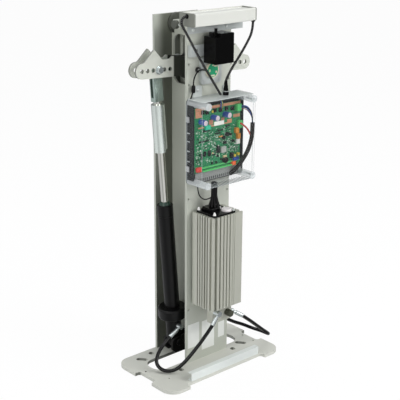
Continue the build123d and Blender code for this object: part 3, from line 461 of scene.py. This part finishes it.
def rounded(low, high, axis, level, inward, corner, sides=6):
    """A rectangle with round corners, carried along axis. Each row has its level, how far it is drawn in, and
    its corners' radius. A point is the middle, plus the straight half by the corner's sign, plus the radius
    by the cosine or sine of the turn."""
    quarter = np.linspace(0, np.pi / 2, sides)
    turn = np.concatenate([quarter + k * np.pi / 2 for k in range(4)])
    signs = np.repeat([(1, 1), (-1, 1), (-1, -1), (1, -1)], sides, axis=0)
    grid = np.empty((len(level), len(turn), 3))
    grid[:, :, axis] = np.asarray(level)[:, None]
    flat = [i for i in range(3) if i != axis]
    for i, sign, swing in zip(flat, signs.T, (np.cos(turn), np.sin(turn))):
        straight = (high[i] - low[i]) / 2 - inward - corner
        grid[:, :, i] = (high[i] + low[i]) / 2 + straight[:, None] * sign + corner[:, None] * swing
    return grid


def moulded(low, high, corner, edge, axis=2):
    """A block between two corners, carried along axis. At both ends it is drawn in by edge over a quarter
    round of four rows, so that every rim catches the light."""
    step = np.linspace(0, np.pi / 2, 4)
    inward = np.concatenate([edge * (1 - np.sin(step)), edge * (1 - np.sin(step[::-1]))])
    rise = edge * (1 - np.cos(step))
    level = np.concatenate([low[axis] + rise, high[axis] - rise[::-1]])
    return rounded(low, high, axis, level, inward, np.maximum(corner - inward, corner * 0.2))


def at(x, y, z):
    """A point in metres, from millimetres across, behind and above the shaft's foot on the floor."""
    return np.array([column_x + x / 1000, column_y + y / 1000, z / 1000])


def turned(start, end, steps, sides=20):
    """A turned form from start to end: each step is a share of the way and a radius in millimetres."""
    share, radius = np.array(steps).T
    return carried(start + share[:, None] * (end - start), radius / 1000, sides)


upright_low, upright_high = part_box("front_upright")
column_x = (upright_low.x + upright_high.x) / 2
column_y = (upright_high.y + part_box("rear_upright")[0].y) / 2
front_y = upright_low.y
plate_spans = (
    ((-0.078, -0.033), (0.057, 0.135)),
    ((-0.022, 0.029), (0.036, 0.1315)),
    ((0.045, 0.0705), (0.0575, 0.1195)),
)
plate_face = front_y - 0.0006
blank_plate = grained("white_anodised_plate", "#E6E8E3", 0.02, 0.0008, 0.00001, 0.35)
rating_grids = [
    moulded((column_x + x[0], plate_face, z[0]), (column_x + x[1], front_y, z[1]), 0.002, 0.0002, 1)
    for x, z in plate_spans
]
piece("rating_plates", rating_grids, blank_plate, "frame")


# Webs: two plates between the uprights, open round the rocker.
# Powder coat again, in the column's shade: a mid grey.
web_coat = grained("powder_coat_web", "#B5B8AC", 0.03, 0.0012, 0.00002, 0.42)
dress(web_coat, "webs")


# Stop buffers and rod wipers: moulded polyurethane buffers, each held by a screw, and green seals.
# The buffers are dark grey with a fine mould grain; the wipers are bottle green.

def screw_head(seat, height, radius, top):
    """A turned head that stands forward of its seat, drawn in from its radius to top over the last three
    tenths. The seat is in metres and the rest in millimetres."""
    return turned(seat, seat - (0, height / 1000, 0), [(0, radius), (0.7, radius), (1, top)])


buffer_rubber = grained("moulded_polyurethane", "#4F524A", 0.06, 0.0009, 0.00003, 0.60)
wiper_green = grained("polyurethane_seal", "#1C3A2E", 0.1, 0.0009, 0.00001, 0.35)
dress(buffer_rubber, "stop_buffers")
dress(wiper_green, "ram_wipers")
buffers_low, buffers_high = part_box("stop_buffers")
buffer_radius = (buffers_high.z - buffers_low.z) / 2
screw_places = [
    np.array((x, buffers_low.y, buffers_low.z + buffer_radius))
    for x in (buffers_low.x + buffer_radius, buffers_high.x - buffer_radius)
]
screw_grids = [screw_head(place, 2.4, 4.4, 3.4) for place in screw_places]
piece("buffer_screws", screw_grids, channel_zinc, "frame")


# Bearings and brackets: square flanged housings and folded brackets in zinc plated steel.
# Fine turning marks and a bluish zinc skin.
housing_zinc = grained("zinc_plated_housing", "#C3C8C6", 0.05, 0.0011, 0.00002, 0.40, 0.4)
dress(housing_zinc, "front_bearing", "rear_bearing", "bar_bracket", "mains_bracket", "tank_brackets")


# Main shaft and drive flange: turned steel, bare and oiled.
# Concentric tool marks are too fine to see at this size, so a 1 mm grain stands for them.
turned_steel = grained("turned_steel", "#9B9E9F", 0.06, 0.001, 0.00002, 0.30, 0.9)
dress(turned_steel, "main_shaft", "drive_flange", "rocker_hub")


# Rocker: two laser-cut plates with rows of holes, coated flat faces and bare darker cut edges.
# The edge tone follows the surface's direction: faces along Y are coated, all others are cut metal.
# Within 79 mm of the column's middle the plates carry painted shade, for the deep shade of the uprights.
rocker_coat = grained("powder_coat_rocker", "#C6C8BE", 0.03, 0.0012, 0.00002, 0.42)
tree = rocker_coat.node_tree
facing = add(tree, "SeparateXYZ", {0: add(tree, "NewGeometry").outputs["Normal"]})
square_on = add(tree, "Math", {0: facing.outputs[1]}, operation="ABSOLUTE")
cut = add(tree, "MapRange", {"Value": square_on.outputs[0], "From Min": 0.9, "From Max": 0.6})
coat_colour = tree.nodes["shader"].inputs["Base Color"]
cut_metal = {0: cut.outputs[0], 6: coat_colour.links[0].from_socket, 7: linear("#85877F")}
tree.links.new(add(tree, "Mix", cut_metal, data_type="RGBA").outputs[2], coat_colour)
shade_full, shade_end = 0.079, 0.084
shaded(
    rocker_coat,
    "#30322C",
    (0, column_x - shade_full, column_x - shade_end),
    (0, column_x + shade_full, column_x + shade_end),
)
dress(rocker_coat, "rocker_front_plate", "rocker_rear_plate")


# Link bolts, small screws, clevises and hose fittings: zinc-plated steel.
# Bluish zinc mirrors the white surround with a slightly uneven satin skin; the clevises are greener.
bright_zinc = grained("bluish_zinc", "#D3DADA", 0.08, 0.005, 0.000004, 0.20, 0.85)
clevis_zinc = grained("greenish_zinc_plate", "#AFBFB7", 0.08, 0.005, 0.000004, 0.24, 0.85)
dress(bright_zinc, "link_bolts", "hose_fittings")
dress(channel_zinc, "small_screws")
dress(clevis_zinc, "left_clevis", "right_clevis")


# Rams: black enamelled tube, foot, pin and gland, a chromed rod and a bright drawn sleeve.
# Satin enamel keeps a long soft highlight; hard chrome and the sleeve mirror the studio.
ram_enamel = grained("satin_black_enamel", "#0B0B0B", 0.1, 0.0012, 0.00001, 0.30, specular=0.2)
hard_chrome = grained("hard_chrome", "#CBCBC4", 0.02, 0.0015, 0.000001, 0.06, 1.0, (1, 1, 10))
sleeve_metal = grained("drawn_aluminium_sleeve", "#E2EAE4", 0.06, 0.005, 0.000002, 0.20, 0.9, (1, 1, 25))
dress(ram_enamel, "ram_feet", "ram_tubes", "ram_glands", "foot_brackets", "foot_pins")
dress(hard_chrome, "left_rod", "right_rod")
dress(sleeve_metal, "left_rod_shroud", "right_rod_shroud")


# Light bar: an extruded trough in white coat, its diffuser, and grey moulded end caps.
# The diffuser is opal acrylic, white and glossy. A rubber grommet sits where each cable leaves the bar.
bar_coat = grained("white_coated_extrusion", "#D0D1CA", 0.015, 0.0012, 0.00001, 0.32)
opal = grained("opal_acrylic", "#E6E7E1", 0.01, 0.002, 0.000005, 0.20)
cap_grey = grained("moulded_grey_cap", "#81837A", 0.04, 0.0009, 0.00004, 0.50)
dress(bar_coat, "light_bar")
dress(opal, "bar_lens")
dress(cap_grey, "bar_end_caps")
grommet_rubber = grained("black_grommet", "#0C0C0C", 0.1, 0.0009, 0.00001, 0.40, specular=0.2)
grommet_length = 0.0025
grommet_steps = [(0, 6.5), (0.5, 6.4), (1, 5.0)]
leave_left, leave_right = (np.array(cable_routes[name][0]) for name in cable_routes)
grommet_grids = [
    turned(leave_left, leave_left - (grommet_length, 0, 0), grommet_steps),
    turned(leave_right, leave_right - (0, 0, grommet_length), grommet_steps),
]
piece("bar_grommets", grommet_grids, grommet_rubber, "frame")


# Rear cap: a moulded round cap on the rear upright's head, with a plated screw in its middle.
# Glass-filled nylon: dark grey, slightly glossy.
cap_nylon = grained("glass_filled_nylon", "#484A42", 0.08, 0.0009, 0.00003, 0.35)
dress(cap_nylon, "rear_cap")
cap_low, cap_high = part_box("rear_cap")
cap_middle = np.array([(cap_low.x + cap_high.x) / 2, cap_low.y, (cap_low.z + cap_high.z) / 2])
piece("rear_cap_screw", [screw_head(cap_middle, 2.5, 4.5, 3.6)], channel_zinc, "frame")


# Mains box: moulded black ABS with two retaining nubs.
# Gloss moulding: deep black with clean highlights along its rims.
gloss_abs = grained("gloss_black_abs", "#070707", 0.08, 0.002, 0.000008, 0.22, specular=0.12)
dress(gloss_abs, "mains_box", "tank_lid")


# Encoder: a cream nylon ring round a green sensor board, on the shaft's front end, and its lead's clamp.
# Nylon is warm and soft; the board's resist is a saturated green gloss; the clamp is black with a zinc screw.
ring_nylon = grained("cream_nylon", "#D8D1B8", 0.04, 0.001, 0.00002, 0.40)
sensor_resist = grained("sensor_solder_resist", "#1F9A6B", 0.08, 0.002, 0.00001, 0.30)
nut_zinc = grained("zinc_nut", "#C9CECC", 0.05, 0.001, 0.00002, 0.28, 0.8)
socket_black = grained("black_socket", "#101010", 0.1, 0.001, 0.00002, 0.40)
dress(ring_nylon, "encoder_ring")
dress(sensor_resist, "encoder_disc")
disc_y = (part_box("encoder_disc")[0].y - column_y) * 1000
mark_height = 1.4
disc_marks = (
    ((-8, 6), (883, 887)), ((-15, -10), (896, 903)), ((4, 14), (909, 913)), ((9, 14), (891, 897)),
    ((-3, 2), (912, 915)),
)
mark_grids = [
    moulded(at(x[0], disc_y - mark_height, z[0]), at(x[1], disc_y, z[1]), 0.0006, 0.0003, 1)
    for x, z in disc_marks
]
piece("encoder_parts", mark_grids, ring_nylon, "frame")
clamp_back, clamp_front = at(-45, -74.5, 904), at(-45, -81.5, 904)
clamp_grid = turned(clamp_back, clamp_front, [(0, 7.5), (0.8, 7.5), (0.81, 6.9), (1, 6.2)])
piece("lead_clamp", [clamp_grid], socket_black, "frame")
piece("lead_clamp_screw", [screw_head(clamp_front, 3, 4.2, 3.2)], nut_zinc, "frame")


# Enclosure: a dark grey moulded tray, its screws and clips, and a clear polycarbonate cover.
# The clear cover only shows at its rounded rims, where a painted sheen makes it paler and less clear the more
# it turns away from the eye.
tray_abs = grained("moulded_grey_tray", "#2C2E2F", 0.06, 0.0009, 0.00003, 0.50, specular=0.2)
fixing_steel = grained("plated_cover_screw", "#C9CCCC", 0.05, 0.001, 0.00001, 0.28, 0.8)
clear_cover = grained("clear_polycarbonate", "#D3DADA", 0.01, 0.003, 0.000004, 0.06)
tree = clear_cover.node_tree
# A painted sheen: the pale cover grows more opaque towards its rims.
rim = add(tree, "LayerWeight", {"Blend": 0.35})
painted_rim_sheen = add(
    tree,
    "MapRange",
    {"Value": rim.outputs["Facing"], "From Min": 0.30, "From Max": 0.95, "To Min": 0.035, "To Max": 0.5},
)
tree.links.new(painted_rim_sheen.outputs[0], tree.nodes["shader"].inputs["Alpha"])
dress(tray_abs, "enclosure_tray")
dress(fixing_steel, "cover_fixings")
cover_low, cover_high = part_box("clear_cover")
cover_corner, least_corner, front_round = 0.016, 0.004, 0.013
corner_sides = 7
# The front rim is a quarter round: a row lies behind the front by the radius times one less the sine, and is
# drawn in by the radius times one less the cosine.
quarter = np.linspace(0, np.pi / 2, corner_sides)
cover_inward = front_round * np.concatenate([[0.0], 1 - np.cos(quarter)])
cover_level = np.concatenate([[cover_high.y], cover_low.y + front_round * (1 - np.sin(quarter))])
cover_corners = np.maximum(cover_corner - cover_inward, least_corner)
cover_grid = rounded(cover_low, cover_high, 1, cover_level, cover_inward, cover_corners, corner_sides)
cover_shell = piece("cover_shell", [cover_grid], clear_cover, "frame", 60)
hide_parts("clear_cover")


# Cover's pillars, rims and rings: a screw pillar moulded in each corner of the cover, and pale beads along
# its rims and round the screws. The pillars are frosted and pale, which also paints the highlight on the
# cover's round corners; the beads are painted highlights on the cover's edges.

def framed(low, high, y, corner, bead, inset=0.0):
    """A round bead along a box's outline from the front: a rectangle with round corners, inset a little."""
    ring = rounded(low, high, 1, [y], np.array([inset]), np.array([corner]))[0]
    return carried(np.vstack([ring, ring[:1]]), bead, 8)


frosted = grained("frosted_polycarbonate", "#EEF3F3", 0.02, 0.001, 0.00001, 0.12)
frosted.node_tree.nodes["shader"].inputs["Alpha"].default_value = 0.46
# Pale beads that paint the highlights on the cover's rims and screw rings; the latch bars share this finish.
rim_highlight_and_clips = grained("cover_rim_highlight_and_clips", "#CBD2D2", 0.01, 0.001, 0.00001, 0.15)
rim_highlight_and_clips.node_tree.nodes["shader"].inputs["Alpha"].default_value = 0.7
pillar_inset = 0.0118
pillar_front, pillar_back = cover_low.y + 0.0005, cover_high.y - 0.001
pillar_spots = [
    (x, z)
    for x in (cover_low.x + pillar_inset, cover_high.x - pillar_inset)
    for z in (cover_low.z + pillar_inset, cover_high.z - pillar_inset)
]
pillar_grids = [
    turned(np.array((x, pillar_front, z)), np.array((x, pillar_back, z)), [(0, 10.4), (1, 10.8)])
    for x, z in pillar_spots
]
piece("cover_pillars", pillar_grids, frosted, "frame")
front_bead, back_bead = 0.0006, 0.0010
rim_grids = [
    framed(cover_low, cover_high, cover_low.y + 0.016, 0.0154, front_bead, inset=front_bead),
    framed(cover_low, cover_high, cover_high.y - 0.0012, 0.014, back_bead),
]
piece("cover_rims", rim_grids, rim_highlight_and_clips, "frame")
ring_radius, ring_bead, ring_y = 0.0096, 0.0010, cover_low.y + 0.0012
ring_turn = np.linspace(0, 2 * np.pi, 20)
ring_line = ring_radius * np.stack([np.cos(ring_turn), 0 * ring_turn, np.sin(ring_turn)], axis=1)
ring_grids = [carried(ring_line + (x, ring_y, z), ring_bead, 8) for x, z in pillar_spots]
piece("pillar_rings", ring_grids, rim_highlight_and_clips, "frame")


# Tray's floor: a pale moulded strip below the board, with a row of dark slots 8 mm apart.
# Plain ABS, paler than the tray, with a soft sheen.
tray_grey = grained("pale_grey_tray_floor", "#868886", 0.04, 0.001, 0.00002, 0.45)
floor_grid = moulded(at(-78, -106, 588), at(100, -104.2, 616), 0.003, 0.0005, 1)
piece("tray_floor", [floor_grid], tray_grey, "frame")
slot_grids = [
    moulded(at(x, -106.5, 590), at(x + 3, -106, 598), 0.0006, 0.0002, 1) for x in np.arange(-66, 96, 8)
]
piece("floor_slots", slot_grids, tray_abs, "frame")


# Clear shelf and ears: the cover's top and the two tabs that hold it to the front upright by a screw each.
# The same clear plastic seen through its length, so it is milky with a coarse ripple.
clear_top = grained("clear_moulded_shelf", "#DFE5E2", 0.10, 0.006, 0.0004, 0.14)
clear_top.node_tree.nodes["shader"].inputs["Alpha"].default_value = 0.72
tray_low, tray_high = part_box("enclosure_tray")
shelf_low = (tray_low.x + 0.001, cover_low.y + 0.012, tray_high.z - 0.0006)
shelf_high = (tray_high.x - 0.001, tray_high.y, tray_high.z + 0.0008)
ear_back = (front_y - column_y) * 1000
ear_front = ear_back - 4
shelf_grids = [
    moulded(shelf_low, shelf_high, 0.006, 0.0006),
    moulded(at(-63, ear_front, 822), at(-30, ear_back, 860), 0.008, 0.001, 1),
    moulded(at(50, ear_front, 822), at(66, ear_back, 850), 0.006, 0.001, 1),
]
piece("clear_shelf", shelf_grids, clear_top, "frame")
ear_screws = [screw_head(at(x, ear_front, z), 2.4, 3.6, 2.6) for x, z in ((-46, 846), (58, 841))]
piece("ear_screws", ear_screws, fixing_steel, "frame")


# Gland and grommet: where the light cables enter the enclosure's top.
# Gloss black plastic: a stepped boot over a plated ring for one cable, a low rubber grommet for the other.

def standing(x, y, low, high, steps):
    """A turned form that stands upright, its place across and behind in metres."""
    return turned(np.array((x, y, low)), np.array((x, y, high)), steps)


gland_foot, gland_top = (corner.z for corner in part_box("cable_glands"))
ring_foot, ring_top = gland_foot + 0.019, gland_foot + 0.021
gland_x, gland_y = cable_routes["right_light_cable"][-1][:2]
grommet_x, grommet_y = cable_routes["left_light_cable"][-1][:2]
boot_steps = [(0, 7.4), (0.24, 7.2), (0.25, 6.4), (0.49, 6.2), (0.5, 5.6), (0.74, 5.4), (0.75, 4.8), (1, 4.4)]
gland_grids = [
    standing(gland_x, gland_y, gland_foot, ring_foot, [(0, 8.4), (0.9, 8.4), (1, 7.8)]),
    standing(gland_x, gland_y, ring_top, gland_top, boot_steps),
    standing(grommet_x, grommet_y, gland_foot, gland_foot + 0.007, [(0, 6.4), (0.6, 6.2), (1, 4.6)]),
]
glands = piece("gland_and_grommet", gland_grids, gloss_abs, "frame")
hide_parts("cable_glands")
ring_grid = standing(gland_x, gland_y, ring_foot, ring_top, [(0, 9.2), (1, 9.2)])
piece("gland_ring", [ring_grid], fixing_steel, "frame")


# Vent ribs and latch windows: ribs under the cover's foot and small bars in its left side.
# The ribs are clear plastic with painted shade, a mid grey; the bars are polished.
vent_shade = grained("vent_slot_shade", "#8E9392", 0.04, 0.001, 0.00002, 0.35)
vent_shade.node_tree.nodes["shader"].inputs["Alpha"].default_value = 0.65
rib_half, rib_count = 0.001, 16
rib_y = cover_low.y + 0.004, cover_low.y + 0.036
rib_z = cover_low.z + 0.0022, cover_low.z + 0.0042
rib_grids = [
    moulded((x - rib_half, rib_y[0], rib_z[0]), (x + rib_half, rib_y[1], rib_z[1]), 0.0006, 0.0004, 1)
    for x in np.linspace(cover_low.x + 0.025, cover_high.x - 0.025, rib_count)
]
piece("vent_ribs", rib_grids, vent_shade, "frame")
latch_grids = [
    moulded(at(-88.6, -92, z), at(-86.2, -80, z + 3), 0.0008, 0.0004, 1) for z in (648, 678, 706, 730)
]
piece("latch_windows", latch_grids, rim_highlight_and_clips, "frame")


# Wiring: single leads from the terminals into a black sleeve, and the light cable's bare tails.
# Soft PVC in blue, black, brown, red and green with yellow, each with a thin long highlight.

def wires(name, routes, radius, finish):
    """Round leads, each along the spline of its route in millimetres."""
    paths = [spline_points(name, [at(*point) for point in route]) for route in routes]
    return piece(name, [carried(path, radius / 1000, 10) for path in paths], finish, "frame")


def plastic(name, colour, roughness=0.40):
    """Plain coloured plastic: the colour drifts by 6 percent, over a 1 mm grain."""
    return grained(name, colour, 0.06, 0.001, 0.00001, roughness)


def fan(dy, dz, spread):
    """One lead from the top terminal block to the sleeve's mouth."""
    return (
        (86, -119, 788 + dz), (93, -131 + dy, 790 + dz), (99.5, -142 + dy, 777 + spread),
        (103, -147, 760 + spread / 2), (103, -148, 738),
    )


blue_pvc = plastic("blue_pvc_lead", "#2C4C9C", 0.35)
brown_pvc = plastic("brown_pvc_lead", "#7A4326", 0.35)
red_pvc = plastic("red_pvc_lead", "#C03A30", 0.35)
yellow_pvc = plastic("green_yellow_pvc_lead", "#8C9A35", 0.35)
black_pvc = grained("black_pvc_lead", "#0B0B0B", 0.06, 0.001, 0.00001, 0.35, specular=0.2)
loom_sleeve = grained("brown_black_sleeve", "#17100D", 0.3, 0.003, 0.0001, 0.45, specular=0.2)
sleeve_route = (
    (103.0, -148, 744), (103.0, -148, 722), (101.5, -147, 696), (94, -141, 662), (82, -131, 633),
    (70, -120, 609), (61, -110, 596), (57, -105, 590),
)
brown_tail = ((14, -110, 826), (16.5, -113, 810), (19, -112, 797), (19, -108.5, 785))
red_route = ((82, -119, 741), (90, -131, 733), (97, -142, 717), (101, -147, 700))
yellow_tail = ((12, -110, 826), (15, -114, 812), (17, -113, 799), (17, -108.5, 785))
blue_tail = ((10, -110, 826), (12, -113, 811), (13, -112, 798), (13, -108.5, 786))
wires("loom_sleeve", [sleeve_route], 6.2, loom_sleeve)
wires("blue_leads", [fan(0, 3, 4), fan(2, -2, -1)], 1.7, blue_pvc)
wires("black_leads", [fan(-2, 0, 2)], 1.7, black_pvc)
wires("brown_leads", [fan(3, -6, -5), brown_tail], 1.2, brown_pvc)
wires("red_leads", [red_route], 2.6, red_pvc)
wires("yellow_leads", [yellow_tail], 1.3, yellow_pvc)
wires("blue_tail", [blue_tail], 1.3, blue_pvc)


# Control board: glass-epoxy laminate with green solder resist, and the blue cans of its capacitors.
# The resist is a glossy deep green; the cans' bare ends are pale grey with a painted pinkish reflection of
# the studio.

def on_board(name, blocks, finish, corner=0.7):
    """Blocks that stand on the board's front, each from its spans across and up and its height, in
    millimetres."""
    grids = []
    for x, z, height in blocks:
        low, high = at(x[0], board_y - height, z[0]), at(x[1], board_y, z[1])
        grids.append(moulded(low, high, corner / 1000, min(0.4, height / 3) / 1000, 1))
    return piece(name, grids, finish, "frame")


board_resist = grained("green_solder_resist", "#1B794B", 0.12, 0.002, 0.00001, 0.35)
can_blue = plastic("capacitor_sleeve", "#2E4FA3", 0.30)
tip_grey = grained("capacitor_can_end", "#D9CBD0", 0.04, 0.001, 0.00001, 0.30, 0.3)
dress(board_resist, "control_board", "led_board")
dress(can_blue, "board_capacitors")
board_y = (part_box("control_board")[0].y - column_y) * 1000
can_top, can_end = board_y - 22, board_y - 22.7
can_places = ((-61, 764), (-16, 771), (30, 773))
can_steps = [(0, 7.2), (0.6, 7.2), (1, 6.6)]
can_grids = [turned(at(x, can_top, z), at(x, can_end, z), can_steps) for x, z in can_places]
piece("capacitor_ends", can_grids, tip_grey, "frame")


# Terminals, relays and copper bars: moulded polyamide, black cases and tinned bars soldered on the board.
# The polyamide is half matt, the relays glossy, and the copper dull and patchy where tin covers it.
terminal_green = grained("terminal_polyamide", "#4DB964", 0.06, 0.001, 0.00002, 0.45)
terminal_spans = [
    ((-58, 90), (627.5, 631), 5), ((-58, 90), (618.5, 622.5), 9), ((70, 86), (777, 797), 12),
    ((77, 91), (726, 748), 12),
]
terminals = on_board("screw_terminals", terminal_spans, terminal_green)
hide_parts("terminal_blocks")
copper = grained("tinned_copper_bar", "#C98D6E", 0.10, 0.002, 0.00001, 0.38, 0.3)
copper_spans = [
    ((-81, 91), (796, 804), 1.2), ((-80, -56), (776, 795), 0.8), ((-70, 58), (744, 748), 0.8),
    ((-30, -14), (750, 764), 0.9), ((17, 29), (754, 764), 0.9), ((40, 58), (748, 756), 0.9),
    ((64, 90), (758, 767), 0.8),
]
on_board("copper_bars", copper_spans, copper)
relay_black = grained("relay_case", "#161113", 0.1, 0.001, 0.00001, 0.30, specular=0.2)
relay_places = ((-55, 790), (-38, 788), (-9, 790), (12, 788), (36, 789), (58, 786))
relay_spans = [((x - 5, x + 5), (z - 5.5, z + 5.5), 4.5) for x, z in relay_places]
relays = on_board("relay_cases", relay_spans, relay_black)
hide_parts("board_chips")


# Small parts: chips, a transformer, varistors, a buzzer, coils and jumpers, each with its usual colour.
# Epoxy, nylon and varnish are half matt; the tinned frames are bright.
chip_epoxy = grained("chip_epoxy", "#1B1C1D", 0.1, 0.001, 0.00001, 0.45, specular=0.2)
tin = grained("tinned_lead_frame", "#C9CCC6", 0.08, 0.001, 0.00001, 0.30, 0.6)
white_part = grained("white_nylon_part", "#E6E6DF", 0.04, 0.001, 0.00001, 0.40)
amber = grained("amber_varistor", "#C9822A", 0.08, 0.001, 0.00001, 0.35)
beige = plastic("beige_ceramic_part", "#C9B48A")
teal = plastic("teal_relay", "#1FB08A", 0.35)
red = plastic("red_terminal", "#C8382F")
orange = plastic("orange_terminal", "#E0622A")
yellow = plastic("yellow_jumper", "#D9C23A")
board_parts = (
    ("white_parts", white_part, "ring_cream", [((-10, 28), (744, 756), 1.0), ((76, 89), (678, 692), 5)]),
    ("transformer", tin, "zinc_plate", [((13, 32), (663, 680), 8)]),
    ("beige_parts", beige, "ring_cream", [((25, 38), (646, 652), 4), ((-18, -12), (664, 668), 2)]),
    ("teal_block", teal, "terminal_green", [((-48, -29), (739, 752), 8)]),
    ("red_block", red, "terminal_green", [((-79, -61), (621, 634), 8)]),
    ("orange_block", orange, "terminal_green", [((55, 68), (619, 630), 11)]),
    ("dark_parts", chip_epoxy, "chip_black", [
        ((-53, -28), (733, 738), 3), ((-68, -30), (704, 708), 3), ((34, 50), (736, 740), 3),
        ((0, 9), (664, 684), 6), ((-33, -25), (660, 677), 5), ((26, 36), (686, 694), 5),
        ((-15, -8), (659, 664), 3), ((-60, -55), (655, 672), 4), ((-50, -42), (662, 676), 4),
        ((4, 22), (727, 731), 3), ((-6, 14), (719, 723), 2), ((52, 62), (640, 656), 8),
        ((0, 6), (652, 658), 3), ((14, 20), (640, 646), 3), ((-4, 2), (634, 640), 3),
        ((-20, -14), (634, 640), 3),
    ]),
    ("amber_parts", amber, "cap_white", [
        ((68, 80), (712, 728), 10), ((76, 86), (694, 710), 10), ((8, 22), (709, 712), 3),
    ]),
    ("yellow_and_blue", yellow, "ring_cream", [
        ((62, 68), (643, 650), 10), ((78, 84), (645, 652), 10), ((-20, -4), (784, 790), 2),
    ]),
    ("blue_terminal", can_blue, "capacitor_blue", [((62, 82), (631, 640), 9)]),
)
for name, finish, slot, blocks in board_parts:
    on_board(name, blocks, finish)
round_parts = ((32, 638, 9, 8), (38, 714, 6, 9), (24, 706, 5, 8), (50, 712, 3.5, 9), (62, 690, 4, 8))
round_grids = [
    turned(at(x, board_y, z), at(x, board_y - height, z), [(0, radius), (0.9, radius), (1, radius - 0.8)])
    for x, z, radius, height in round_parts
]
piece("buzzer_and_coils", round_grids, relay_black, "frame")


# Fine parts: resistors, capacitors and lead frames of 1 to 4 mm, scattered over the free part of the board.
# A seeded draw gives each its place, size and kind, and one that would touch a larger part is left out.
rng = np.random.default_rng(7)
draws, speck_height = 900, 1.4
taken = [
    ((-82, -56), (774, 805)), ((12, 34), (660, 684)), ((50, 92), (614, 636)), ((60, 92), (694, 730)),
    ((-70, 92), (738, 805)), ((-82, 92), (617, 636)), ((-53, -25), (655, 680)), ((-12, 46), (630, 650)),
    ((44, 90), (638, 656)),
]
speck_finishes = {"tin_specks": tin, "dark_specks": chip_epoxy, "pale_specks": white_part}
speck_shares = (0.42, 0.43, 0.15)
specks = {name: [] for name in speck_finishes}
for _ in range(draws):
    x, z = rng.uniform(-79, 88), rng.uniform(640, 738)
    wide, high = rng.choice([1.2, 1.8, 2.6, 3.8], 2)
    kind = tuple(specks)[rng.choice(3, p=speck_shares)]
    if all(x + wide < a[0] or x > a[1] or z + high < b[0] or z > b[1] for a, b in taken):
        taken.append(((x, x + wide), (z, z + high)))
        specks[kind].append((*taken[-1], speck_height))
for name, finish in speck_finishes.items():
    on_board(name, specks[name], finish, 0.2)


# Oil tank: an aluminium extrusion with deep fins, natural anodised.
# Extrusion lines run along Z; anodising leaves a soft satin skin, on the pump's block too.
tank_anodised = grained("anodised_extrusion", "#BDBEB2", 0.03, 0.0012, 0.00002, 0.38, 0.35, (1, 1, 30))
dress(tank_anodised, "pump_block")


def notched(start, end, inward, grooves):
    """Corners along one side of a profile, in millimetres, with grooves cut into it: each is the distance of
    its middle from the start, its width and its depth."""
    start, end, inward = (np.asarray(v, float) for v in (start, end, inward))
    run = (end - start) / np.linalg.norm(end - start)
    corners = [start]
    for middle, width, depth in grooves:
        near, far = start + run * (middle - width / 2), start + run * (middle + width / 2)
        corners += [near, near + inward * depth, far + inward * depth, far]
    return corners


tank_left, tank_right, tank_back, tank_depth = -69, 47, -84, 88
tank_front = tank_back - tank_depth
side_grooves = [(22.5, 4.5, 10), (33, 4.5, 10), (43, 4.5, 10), (54, 7, 12), (64.5, 5, 12), (79, 9, 13)]
front_grooves = [
    (12, 12, 13), (29.5, 5.5, 12), (43.2, 4, 10), (55.5, 4, 10), (67.5, 4, 8), (79, 2, 1.2), (86, 2, 1.2),
]
right_grooves = [(tank_depth - middle, width, depth) for middle, width, depth in side_grooves[::-1]]
profile = (
    notched((tank_left, tank_back), (tank_left, tank_front), (1, 0), side_grooves)
    + notched((tank_left, tank_front), (tank_right, tank_front), (0, 1), front_grooves)
    + notched((tank_right, tank_front), (tank_right, tank_back), (-1, 0), right_grooves)
    + [(tank_right, tank_back)]
)
tank_rows = [[at(x, y, corner.z * 1000) for x, y in profile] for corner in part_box("finned_tank")]
tank = piece("oil_tank", [np.array(tank_rows)], tank_anodised, "frame", 20)
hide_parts("finned_tank")


# Lid posts: small moulded cones that stand on the tank's lid.
# White nylon with a soft sheen.
post_nylon = grained("white_post", "#E9E8E4", 0.02, 0.001, 0.00001, 0.32)
lid_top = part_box("filler_cap")[0].z * 1000
post_steps = [(0, 4.6), (0.25, 4.4), (0.8, 2.4), (1, 1.6)]
post_places = ((-53, -161), (-53, -93), (-30, -91), (2, -122), (6, -137))
post_grids = [turned(at(x, y, lid_top), at(x, y, lid_top + 9), post_steps) for x, y in post_places]
piece("lid_posts", post_grids, post_nylon, "frame")


# Motor leads: a bunch of nine black leads from the enclosure that twists and spreads over the tank's plug.
# One runs in the middle and eight in a ring round it. A thin vent lead loops in from the side.
lead_count, bunch_radius, bunch_twist = 9, 6.4, 0.7
bunch_middle = np.array([-10.5, -112.0])
bunch = []
for index in range(lead_count):
    turn = 2 * math.pi * index / lead_count
    wide = bunch_radius if index else 0.0
    sway = np.array([math.cos(turn), math.sin(turn)])
    swirl = np.array([math.cos(turn + bunch_twist), math.sin(turn + bunch_twist)])
    stations = (
        (sway, wide * 0.9, 580), (sway, wide, 556), (swirl, wide, 534), (swirl, wide + 5, 516),
        (swirl, wide + 9, 506),
    )
    bunch.append([(*(bunch_middle + side * reach), z) for side, reach, z in stations])
motor_leads = wires("motor_leads", bunch, 3.3, black_pvc)
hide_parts("wiring_bundle")
vent_route = (
    (-61, -96, 577), (-62, -99, 558), (-55, -101, 541), (-41, -103, 531), (-27, -106, 531), (-16, -110, 536),
)
wires("vent_lead", [vent_route], 1.7, black_pvc)


# Filler cap, release knob and submerged motor: moulded and turned parts of the power unit.
# The cap is white polypropylene, the knob dark olive phenolic, the motor in the tank dark enamel.
cap_white = grained("white_polypropylene", "#E8E3E2", 0.02, 0.001, 0.00001, 0.35)
knob_phenolic = grained("olive_phenolic", "#3E4034", 0.08, 0.001, 0.00002, 0.35)
motor_enamel = grained("dark_motor_enamel", "#2A2B2C", 0.08, 0.001, 0.00002, 0.45)
dress(cap_white, "filler_cap")
dress(knob_phenolic, "release_knob")
dress(motor_enamel, "pump_motor")
